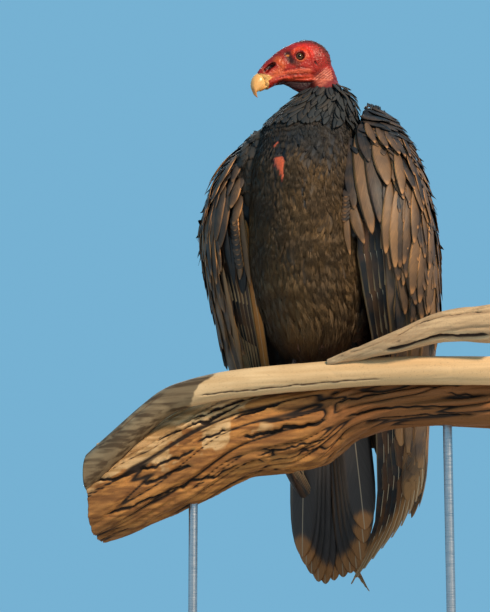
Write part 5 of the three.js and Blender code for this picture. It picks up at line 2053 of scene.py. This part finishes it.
WINGS = (
    Wing(
        side=Side.LEFT,
        rows=(
            (230, 190, 8.0, 8.5, 29, 12, 0.03, 3.4, 0.02, -0.2),
            (196, 160, 9.5, 9.0, 26, 11, 0.55, 1.9, 0.35, -0.08),
            (160, 122, 13.0, 10.0, 38, 12, 0.85, 2.2, 0.5, 0.0),
            (122, 66, 18.0, 11.0, 50, 13, 0.85, 2.4, 0.5, 0.0),
            (66, 8, 23.0, 12.5, 62, 15, 0.85, 2.6, 0.5, 0.0),
        ),
        placed=(
            (0.085, 184, 0.149, 76, 18, 0.9, 3.4, 0.42, 0.2, 0.3),
            (-0.035, 183, 0.024, 100, 17, 0.0, 1.6, 0.36, 0.25, 0.15),
            (0.0, 140, 0.03, 92, 12, 0.2, 2.0, 0.4, 0.35, 0.3),
            (0.018, 191, 0.122, 65, 21, 0.4, 2.6, 0.6, 0.75, 0.6),
            (-0.007, 102, 0.012, 44, 8, 0.2, 2.4, 0.6, 0.8, 1.0),
            (0.011, 102, 0.071, 55, 12, 0.4, 2.8, 0.5, 0.75, 0.8),
            (0.44, 76, 0.35, -15, 15, 0.6, 3.6, 0.6, 0.6, 1.0),
            (0.373, 80, 0.286, -5, 15, 0.8, 3.8, 0.5, 0.6, 1.0),
            (0.34, 82, 0.238, 4, 18, 1.0, 4.2, 0.6, 0.75, 1.0),
            (0.285, 92, 0.225, 20, 15, 0.8, 3.6, 0.35, 0.4, 0.7),
            (0.45, 107, 0.368, 30, 14, 0.8, 4.0, 0.6, 0.6, 1.0),
            (0.334, 124, 0.28, 56, 14, 1.2, 4.4, 0.6, 0.6, 1.0),
            (0.293, 121, 0.238, 33, 13, 1.0, 4.2, 0.5, 0.5, 0.8),
            (0.256, 118, 0.205, 30, 15, 1.2, 4.4, 0.3, 0.4, 0.6),
            (0.221, 115, 0.178, 30, 15, 1.8, 5.2, 0.85, 0.95, 0.8),
            (0.188, 126, 0.158, 44, 14, 1.6, 5.0, 0.6, 0.85, 1.0),
            (0.408, 146, 0.404, 84, 11, 1.2, 4.4, 0.6, 0.5, 0.9),
            (0.372, 158, 0.362, 100, 11, 1.2, 4.4, 0.3, 0.2, 0.9),
            (0.325, 143, 0.345, 92, 12, 1.4, 4.8, 0.5, 0.5, 1.0),
            (0.286, 152, 0.312, 116, 12, 1.6, 5.0, 0.4, 0.3, 1.0),
            (0.255, 166, 0.238, 108, 14, 2.0, 5.4, 0.7, 0.75, 1.0),
            (0.135, 180, 0.185, 118, 20, 1.0, 4.4, 0.6, 0.75, 0.55),
            (0.34, 166, 0.327, 133, 10, 1.8, 5.2, 0.5, 0.4, 0.9),
            (0.372, 190, 0.33, 156, 9, 1.6, 5.0, 0.4, 0.2, 0.9),
            (0.26, 192, 0.293, 154, 10, 2.0, 5.6, 0.4, 0.2, 1.0),
            (0.217, 190, 0.256, 156, 12, 2.2, 6.0, 0.5, 0.45, 1.0),
            (0.156, 194, 0.195, 162, 10, 2.0, 5.8, 0.5, 0.4, 1.0),
            (0.03, 200, 0.096, 146, 15, 1.2, 4.0, 0.3, 0.15, 0.1),
            (0.075, 200, 0.123, 168, 9, 2.4, 5.6, 0.55, 0.6, 1.0),
        ),
        stack=(118, 90, 4.4, -0.008), clear=(0.17, 168, -20), top=228,
        strip=(), secondary_tips=(-140, -204, -222, -150), primary_tips=(-302, -196), primary_u=(0.068, 0.3),
        secondary_u=(0.158, 0.93), seed=101,
    ),
    Wing(
        side=Side.RIGHT,
        rows=(
            (205, 168, 8.0, 8.5, 24, 10, 0.12, 1.8, 0.05, -0.2),
            (168, 128, 10.0, 9.0, 30, 10, 0.6, 1.9, 0.35, -0.05),
            (128, 84, 14.0, 10.0, 44, 11, 0.6, 2.2, 0.5, 0.0),
            (84, 30, 18.0, 11.0, 56, 13, 0.6, 2.4, 0.5, 0.0),
            (30, 0, 22.0, 12.5, 62, 15, 0.6, 2.6, 0.5, 0.0),
        ),
        placed=(
            (0.015, 112, 0.03, 20, 10, -0.6, 1.4, 0.5, 0.8, 0.5),
            (0.19, 120, 0.222, 64, 16, 0.0, 2.6, 0.35, 0.45, 0.3),
            (0.13, 132, 0.168, 70, 17, 0.4, 3.2, 0.4, 0.5, 0.15),
            (0.085, 124, 0.138, 62, 15, 0.8, 3.8, 0.3, 0.4, 0.15),
            (0.2, 92, 0.226, 26, 12, 1.0, 4.2, 0.35, 0.4, 1.0),
            (0.235, 104, 0.25, 36, 11, 1.2, 4.4, 0.3, 0.3, 1.0),
            (0.283, 132, 0.262, 90, 10, 1.6, 4.6, 0.4, 0.4, 0.9),
            (0.315, 152, 0.228, 104, 10, 1.8, 5.0, 0.4, 0.4, 0.9),
            (0.168, 146, 0.188, 112, 10, 2.0, 5.4, 0.4, 0.5, 1.0),
            (0.29, 176, 0.33, 126, 9, 2.0, 5.4, 0.35, 0.3, 0.9),
            (0.255, 182, 0.3, 138, 9, 2.2, 5.8, 0.35, 0.3, 0.9),
            (0.1, 170, 0.137, 128, 10, 2.4, 6.0, 0.5, 0.6, 0.9),
            (0.03, 172, 0.06, 132, 12, 0.4, 3.4, 0.4, 0.5, 0.4),
            (0.005, 118, 0.05, 84, 11, 0.6, 3.2, 0.4, 0.65, 0.8),
            (0.012, 138, 0.062, 102, 12, 1.2, 4.4, 0.45, 0.65, 0.8),
            (0.052, 48, 0.06, 28, 7, 1.0, 3.4, 0.6, 0.7, 0.7),
            # These three black feathers darken a gap in the wing: painted shade.
            (0.118, 100, 0.116, 30, 9, 0.0, 1.4, 0.0, 0.0, 0.0),
            (0.095, 74, 0.098, 22, 9, 0.0, 1.6, 0.0, 0.0, 0.0),
            (0.05, 52, 0.06, 12, 13, -0.6, 0.6, 0.0, 0.0, 0.0),
            (0.165, 44, 0.182, -78, 8, 1.8, 4.2, 0.85, 1.0, 1.0),
        ),
        stack=(96, 46, 5.2, 0.056), clear=(0.19, 146, -20), top=206,
        strip=((0.004, 92), (0.012, -130)), secondary_tips=(-120, -150, -150, -110), primary_tips=(-310, -250),
        primary_u=(0.066, 0.31), secondary_u=(0.256, 0.93), seed=202, hand_spread=0.3, hand_tip=0.2, hand_tone=0.05,
    ),
)


@dataclass
class TailFan:
    """Twelve tail feathers, the outer ones under the inner, and their coverts."""

    width: float = 34.0
    feathers: tuple = (
        (-4, -9, 267), (4, 4, 262), (-8, -20, 271), (8, 14, 256), (-12, -28, 268), (12, 22, 249),
        (-15, -35, 258), (15, 28, 238), (-18, -40, 247), (18, 32, 216), (-20, -43, 236), (20, 34, 199),
    )

    def build(self) -> None:
        """Lays the feathers on the fan, worn pale at their ends."""
        fan = Fan(TAIL_ROOT, TAIL_TIP)
        rng = np.random.default_rng(31)
        given = []
        for i, (root, tip, end) in enumerate(self.feathers):
            layer = 0.95 * i
            given.append(Plume(
                (root, 18.0), (tip, -end), self.width, 1.0 * layer - 3.0, 1.3 * layer - 2.0,
                float(rng.uniform(0.35, 0.6)), 0.05, 0.35, 0.0, 0.0003 * tip,
            ))
        finish = Plumage(
            "tail_plumage", cool=paint(47, 53, 58), warm=paint(164, 112, 68), edge=paint(150, 112, 76),
            shaft=paint(176, 160, 136), shaft_strength=0.8, fineness=4.0, roughness=0.42, worn=0.98,
            start=0.925, mottle=0.0,
        ).material()
        made = piece(plumes(fan, given).form(QUILL), "quills_tail", finish)
        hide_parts("tail")
        self.coverts(fan)

    @staticmethod
    def coverts(fan: Fan) -> None:
        """Soft coverts above and under the tail's root."""
        rng = np.random.default_rng(33)
        forms = []
        for flip in (1.0, -1.0):
            u, v = rows_of(fan, 8, -78, 9.0, 9.0, rng, (-28, 28), 0.4)
            n = len(u)
            back = Fan(TAIL_ROOT, TAIL_TIP)
            back.hand = flip
            depth = 18.0 if flip > 0 else 9.0
            # shade darkens the coverts: partly their own dark colour, partly painted shadow from the log above.
            forms.append(Batch.rooted(
                back, u, v, rng.normal(0, 0.15, n), 34 * rng.uniform(0.8, 1.2, n), 17.0, rng,
                low=depth * (1 - ease(0, 90, -v)) + 1, high=depth * (1 - ease(0, 90, -v + 20)) + 3.5,
                warm=np.clip(rng.normal(0.25, 0.2, n), 0, 1), edge=rng.uniform(0, 0.2, n), shade=-0.25,
            ).form(CONTOUR))
        look = Plumage("tail_covert_plumage", shaft_strength=0.0, roughness=0.6).material()
        piece(Form.joined(forms), "coat_tail", look)


@dataclass
class Bristles:
    """Short dark bristles on the crown and nape."""

    count: int = 420

    def build(self) -> None:
        """Scatters the bristles, thickest on the nape, lying backward."""
        skull = Skull(Levels(HEAD_LEVELS), 0.1)
        rng = np.random.default_rng(55)
        u = rng.uniform(-0.5, np.pi + 0.5, self.count)
        v = rng.uniform(-15.5, 22, self.count)
        high = skull.local(u, v)[:, 2]
        odds = ease(8, -12, v) * 0.9 + ease(15, 19, high) * 0.5
        keep = rng.uniform(0, 1, self.count) < odds
        u, v = u[keep], v[keep]
        n = len(u)
        batch = Batch.rooted(
            skull, u, v, rng.normal(0, 0.35, n), rng.uniform(2.0, 4.2, n), rng.uniform(0.7, 1.1, n), rng,
            low=-0.3, high=rng.uniform(0.3, 1.3, n), warm=rng.uniform(0.3, 1, n), edge=0.0,
        )
        look = Plumage(
            "bristle_plumage", cool=paint(40, 26, 20), warm=paint(96, 58, 34), shaft_strength=0.0,
        ).material()
        thin = Vane(belly=0.3, point=1.2, blunt=0.95, tops=3, rows=(0.1, 0.5, 0.85), crown=0.25, thick=0.3)
        piece(batch.form(thin), "coat_bristles", look)


# ------------------------------------------------------------------- perch


@dataclass(frozen=True)
class Crack:
    """A long crack or hollow: x and angle round the timber, depth and width."""

    depth: float
    width: float
    line: tuple

    def cut(self, x: Array, round_: Array, reach: Array) -> Array:
        """How deep the timber is cut, by a soft notch along the crack.

        Args:
            x: level along the timber, in millimetres.
            round_: angle round it, in radians.
            reach: its radius there.

        Returns:
            Depth times one less gap over width, to the power 0.7, with the
            crack narrowing to nothing at both ends.
        """
        way = np.array(self.line, float)
        order = np.argsort(way[:, 0])
        level, angle = way[order].T
        middle = np.interp(x, level, angle)
        middle = middle + 0.05 * cloud(np.stack([x / 9.0, middle * 3, x * 0], 1), 37, 2)
        ends = ease(0, 14, np.minimum(x - level[0], level[-1] - x))
        gap = np.abs(round_ - middle) * reach / np.maximum(self.width * (0.25 + 0.75 * ends), 0.05)
        return self.depth * ends * np.clip(1 - gap, 0, 1) ** 0.7


LOG_CRACKS = (
    Crack(5.0, 2.6, ((-80, 3.4), (-51, 3.35), (-9, 3.22), (25, 3.25))),
    Crack(5.5, 2.8, ((-91, 2.94), (-60, 2.85), (-25, 2.67))),
    Crack(4.5, 2.6, ((-194, 3.47), (-161, 3.5), (-124, 3.54))),
    Crack(4.5, 2.4, ((-248, 3.06), (-194, 3.18), (-150, 3.26), (-120, 3.27))),
    Crack(4.0, 2.6, ((-237, 3.8), (-162, 3.85), (-102, 4.02), (-46, 4.01))),
    Crack(3.6, 2.0, ((-65, 3.85), (-21, 3.67), (23, 3.74))),
    Crack(3.4, 2.0, ((-55, 4.11), (2, 3.88), (40, 4.2))),
    Crack(4.0, 2.2, ((26, 2.9), (79, 2.93), (120, 2.66), (175, 2.6))),
    Crack(3.4, 1.8, ((144, 2.93), (197, 3.03))),
    Crack(4.0, 2.0, ((35, 3.43), (100, 3.52), (165, 3.48))),
    Crack(3.6, 2.0, ((54, 4.0), (121, 3.87), (185, 3.83))),
    Crack(4.0, 2.4, ((-150, 2.6), (-101, 2.5), (-55, 2.34))),
    Crack(5.0, 2.8, ((-178, 2.7), (-122, 2.74), (-72, 2.55))),
    Crack(4.0, 2.4, ((-132, 3.13), (-84, 3.1))),
)
FRONT_CRACKS = (
    Crack(1.2, 1.3, ((60.8, 2.35), (63.4, 2.35))), Crack(1.2, 1.3, ((121.8, 2.96), (124.4, 2.96))),
    Crack(1.2, 1.3, ((179.8, 2.63), (182.4, 2.63))), Crack(1.0, 1.0, ((-59.0, 2.87), (-56.6, 2.87))),
    Crack(2.0, 1.1, ((-120, 3.7), (-60, 3.9), (20, 3.85), (90, 3.8))),
    Crack(1.4, 0.9, ((-226, 2.6), (-180, 2.7), (-150, 2.8))),
)
RIGHT_CRACKS = (
    Crack(3.4, 1.5, ((98, 2.79), (128, 2.39), (161, 2.44), (206, 2.64))),
    Crack(5.5, 3.2, ((88, 3.76), (120, 3.96), (172, 4.12), (209, 3.88))),
    Crack(1.6, 1.0, ((109, 2.56), (142, 2.2), (170, 1.9))),
    Crack(1.5, 1.4, ((157.8, 2.82), (160.4, 2.82))), Crack(1.5, 1.4, ((193.8, 2.92), (196.4, 2.92))),
)


@dataclass
class Timbers:
    """The cut length of log and the two limbs that lie on it."""

    def timber(
        self, levels: tuple, name: str, count: int, sides: int, rough: tuple, twist: float,
        cracks: tuple, finish: Timber, part: str,
    ) -> None:
        """One timber: oval sections across x, cut by grooves along its length.

        The radius loses the groove depth times a groove, which is the fourth
        power of one less the size of stretched noise, and each single crack.
        Terraces are a second such noise rounded to whole steps.

        Args:
            levels: x, middle y and z, half depth, half height.
            name: the piece's name.
            count, sides: how many sections, and points round each.
            rough: groove depth, width, length, lump height, terrace height and
                how dark the grooves are.
            twist: radians per millimetre that the grooves turn.
            cracks: its single long cracks.
            finish: its wood.
            part: the node it stands for.
        """
        depth, width, length, lump, terrace, veins = rough
        table = Levels(levels)
        xs = np.array([row[0] for row in levels], float)
        x = np.linspace(xs.min(), xs.max(), count)
        cy, cz, hd, hh = table.at(x).T
        angle = np.linspace(0, 2 * np.pi, sides, endpoint=False)
        turned = angle[None] + twist * x[:, None]
        mean = (hd + hh)[:, None] / 2
        sample = np.stack([
            np.broadcast_to(x[:, None] / length, turned.shape),
            mean * np.cos(turned) / width, mean * np.sin(turned) / width,
        ], 2).reshape(-1, 3)
        bend = cloud(sample * np.array([1.5, 0.3, 0.3]) + 5.0, 91)[:, None] * 0.9
        ridged = 1 - np.abs(cloud(sample + bend, 17, 2))
        groove = np.clip(ridged, 0, 1) ** 4
        lumps = cloud(sample * 0.22, 29, 2)
        fine = cloud(sample * np.array([2.0, 3.0, 3.0]), 71)
        ledges = cloud(sample * np.array([0.8, 1.3, 1.3]) + 40.0, 57, 2) * 2.4
        steps = np.floor(ledges) + ease(0.25, 0.75, ledges - np.floor(ledges))
        off = (lump * lumps + terrace * steps - depth * groove + 0.12 * depth * fine).reshape(count, sides)
        along = np.repeat(x, sides)
        single = sum(
            crack.cut(along, np.tile(angle, count), np.repeat((hd + hh) / 2, sides)) for crack in cracks
        )
        off -= single.reshape(count, sides)
        # The groove mark darkens the cuts in the finish, partly as painted shade.
        groove = np.maximum(veins * groove**1.4, np.clip(single / (0.6 * max(c.depth for c in cracks)), 0, 1))
        cos, sin = np.cos(angle)[None], np.sin(angle)[None]
        y = cy[:, None] + (hd[:, None] - 0.6 + off) * cos
        z = cz[:, None] + (hh[:, None] - 0.6 + off) * sin
        grid = np.stack([np.broadcast_to(x[:, None], y.shape), y, z], 2)
        cap = np.linspace(0.94, 0.12, 9)
        middle = [grid[0].mean(0), grid[-1].mean(0)]
        first = middle[0] + (grid[0] - middle[0]) * cap[::-1, None, None]
        last = middle[1] + (grid[-1] - middle[1]) * cap[:, None, None]
        form = lofted(np.concatenate([first, grid, last]))
        marks = np.concatenate([
            np.zeros(9 * sides), groove, np.zeros(9 * sides), [0, 0],
        ])
        form.marks["groove"] = marks
        aged = ease(-20, -110, along) * ease(-0.35, 0.25, np.tile(np.sin(angle), count) + 0.3 * lumps)
        if part == "perch_limb_front":
            aged = 1 - ease(-130, -90, along + 22 * lumps)
        form.marks["aged"] = np.concatenate([np.zeros(9 * sides), aged, np.zeros(9 * sides), [0, 0]])
        dull = ease(-20, 60, along + 30 * lumps)
        form.marks["dull"] = np.concatenate([np.zeros(9 * sides), dull, np.zeros(9 * sides), [0, 0]])
        made = piece(form, name, finish.material())
        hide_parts(part)

    def build(self) -> None:
        """Makes the three timbers."""
        self.timber(
            LOG_LEVELS, "bark_log", 340, 230, (4.4, 11.0, 130.0, 3.0, 1.3, 1.0), 0.004, LOG_CRACKS,
            Timber(
                "bark_wood", paint(186, 124, 62), paint(122, 76, 38), paint(36, 22, 12),
                paint(214, 172, 122), paint(164, 124, 78), paint(104, 60, 32), 0.07, 170.0,
            ),
            "perch_log",
        )
        self.timber(
            LIMB_FRONT_LEVELS, "smooth_limb", 420, 90, (0.35, 7.0, 90.0, 0.9, 0.0, 0.0), 0.002, FRONT_CRACKS,
            Timber(
                "smooth_wood", paint(214, 178, 132), paint(196, 158, 112), paint(104, 72, 46),
                paint(136, 114, 84), paint(74, 56, 36), paint(206, 168, 122), 0.05, 150.0, 0.62, 0.0005,
            ),
            "perch_limb_front",
        )
        self.timber(
            LIMB_RIGHT_LEVELS, "twisted_limb", 260, 110, (1.8, 8.0, 120.0, 1.4, 0.5, 0.35), 0.010, RIGHT_CRACKS,
            Timber(
                "grey_wood", paint(200, 168, 128), paint(160, 128, 94), paint(50, 34, 24),
                paint(200, 168, 128), paint(160, 128, 94), paint(190, 156, 116), 0.05, 200.0, 0.7, 0.0008,
            ),
            "perch_limb_right",
        )


@dataclass
class DisplayStand:
    """The plain stand: finishes for its base and its two rods."""

    def dress(self) -> None:
        """Gives the stand's own solids their materials."""
        light, dark = paint(92, 66, 46), paint(70, 48, 33)
        board = Timber(
            "stand_board", light, dark, paint(44, 30, 20), light, dark, light, 0.05, 70.0, 0.45, 0.0003,
        ).material()
        steel = Steel().material()
        for name in ("stand_base", "stand_rod_left", "stand_rod_right"):
            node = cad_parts[name]
            node.data.materials.clear()
            node.data.materials.append(board if name == "stand_base" else steel)
            LOG.info("%s: dressed", name)


# ------------------------------------------------------------------ studio


@dataclass
class Studio:
    """Camera, soft lights, a pale floor and a pale backdrop."""

    turn: float = math.radians(16.0)
    rise: float = math.radians(10.5)
    place: tuple[float, float, float] = (0.5008, -2.0090, 0.0464)
    lens: float = 108.53

    def camera(self) -> None:
        """The camera, turned about z and tipped up."""
        data = bpy.data.cameras.new("camera")
        data.lens = self.lens
        data.sensor_width = 36.0
        data.sensor_fit = "AUTO"
        data.clip_start = 0.05
        thing = bpy.data.objects.new("camera", data)
        thing.location = self.place
        thing.rotation_euler = (math.pi / 2 + self.rise, 0.0, self.turn)
        bpy.context.scene.collection.objects.link(thing)
        bpy.context.scene.camera = thing

    def lamp(self, name: str, colour: Colour, power: float, size: float, place: tuple, aim: tuple) -> None:
        """One soft square light.

        Args:
            name: its name.
            colour: its colour.
            power: in watts.
            size: its side, in metres.
            place, aim: where it is and what it faces.
        """
        data = bpy.data.lights.new(name, "AREA")
        data.color = colour[:3]
        data.energy = power
        data.size = size
        thing = bpy.data.objects.new(name, data)
        thing.location = place
        way = Vector(aim) - Vector(place)
        thing.rotation_euler = way.to_track_quat("-Z", "Y").to_euler()
        bpy.context.scene.collection.objects.link(thing)

    def build(self) -> None:
        """Sets the camera, lights, floor and backdrop."""
        self.camera()
        bpy.context.scene.view_settings.view_transform = "Standard"
        self.lamp("key", (1.0, 0.83, 0.62, 1.0), 150.0, 0.4, (2.1, -1.75, 2.1), (0, 0, 0.42))
        self.lamp("fill", (0.75, 0.86, 1.0, 1.0), 6.0, 2.0, (-2.2, -1.6, 1.2), (0, 0, 0.4))
        self.lamp("rim", (1.0, 0.92, 0.8, 1.0), 22.0, 1.2, (-0.8, 2.0, 1.9), (0, 0, 0.45))
        world = bpy.data.worlds.new("backdrop")
        world.use_nodes = True
        sky = world.node_tree.nodes["Background"]
        sky.inputs[0].default_value = paint(124, 186, 221)
        sky.inputs[1].default_value = 0.9
        bpy.context.scene.world = world
        corners = np.array([[-3, -3, 0], [3, -3, 0], [3, 3, 0], [-3, 3, 0]], float) / METRES - AXIS
        form = Form(corners, np.array([0, 1, 2, 3]), np.array([4]))
        mesh = form.mesh("floor")
        material, write, shader = shaded("floor_pale")
        tint = write.noise(write.add("ShaderNodeTexCoord").outputs["Object"], 3.0)
        write.join(write.blend(tint, paint(206, 208, 208), paint(214, 215, 214)), shader.inputs["Base Color"])
        shader.inputs["Roughness"].default_value = 0.8
        mesh.materials.append(material)
        floor = bpy.data.objects.new("floor", mesh)
        bpy.context.scene.collection.objects.link(floor)


def main() -> None:
    """Builds every part in order."""
    logging.basicConfig(level=logging.INFO, format="%(name)s: %(message)s")
    Studio().build()
    wings = {wing.side: WingFace(wing.levels, wing.side) for wing in WINGS}
    Skin().build(wings)
    Face().build()
    BodyCoat().build()
    for wing in WINGS:
        wing.build()
    TailFan().build()
    Bristles().build()
    Timbers().build()
    DisplayStand().dress()


if __name__ == "__main__":
    main()
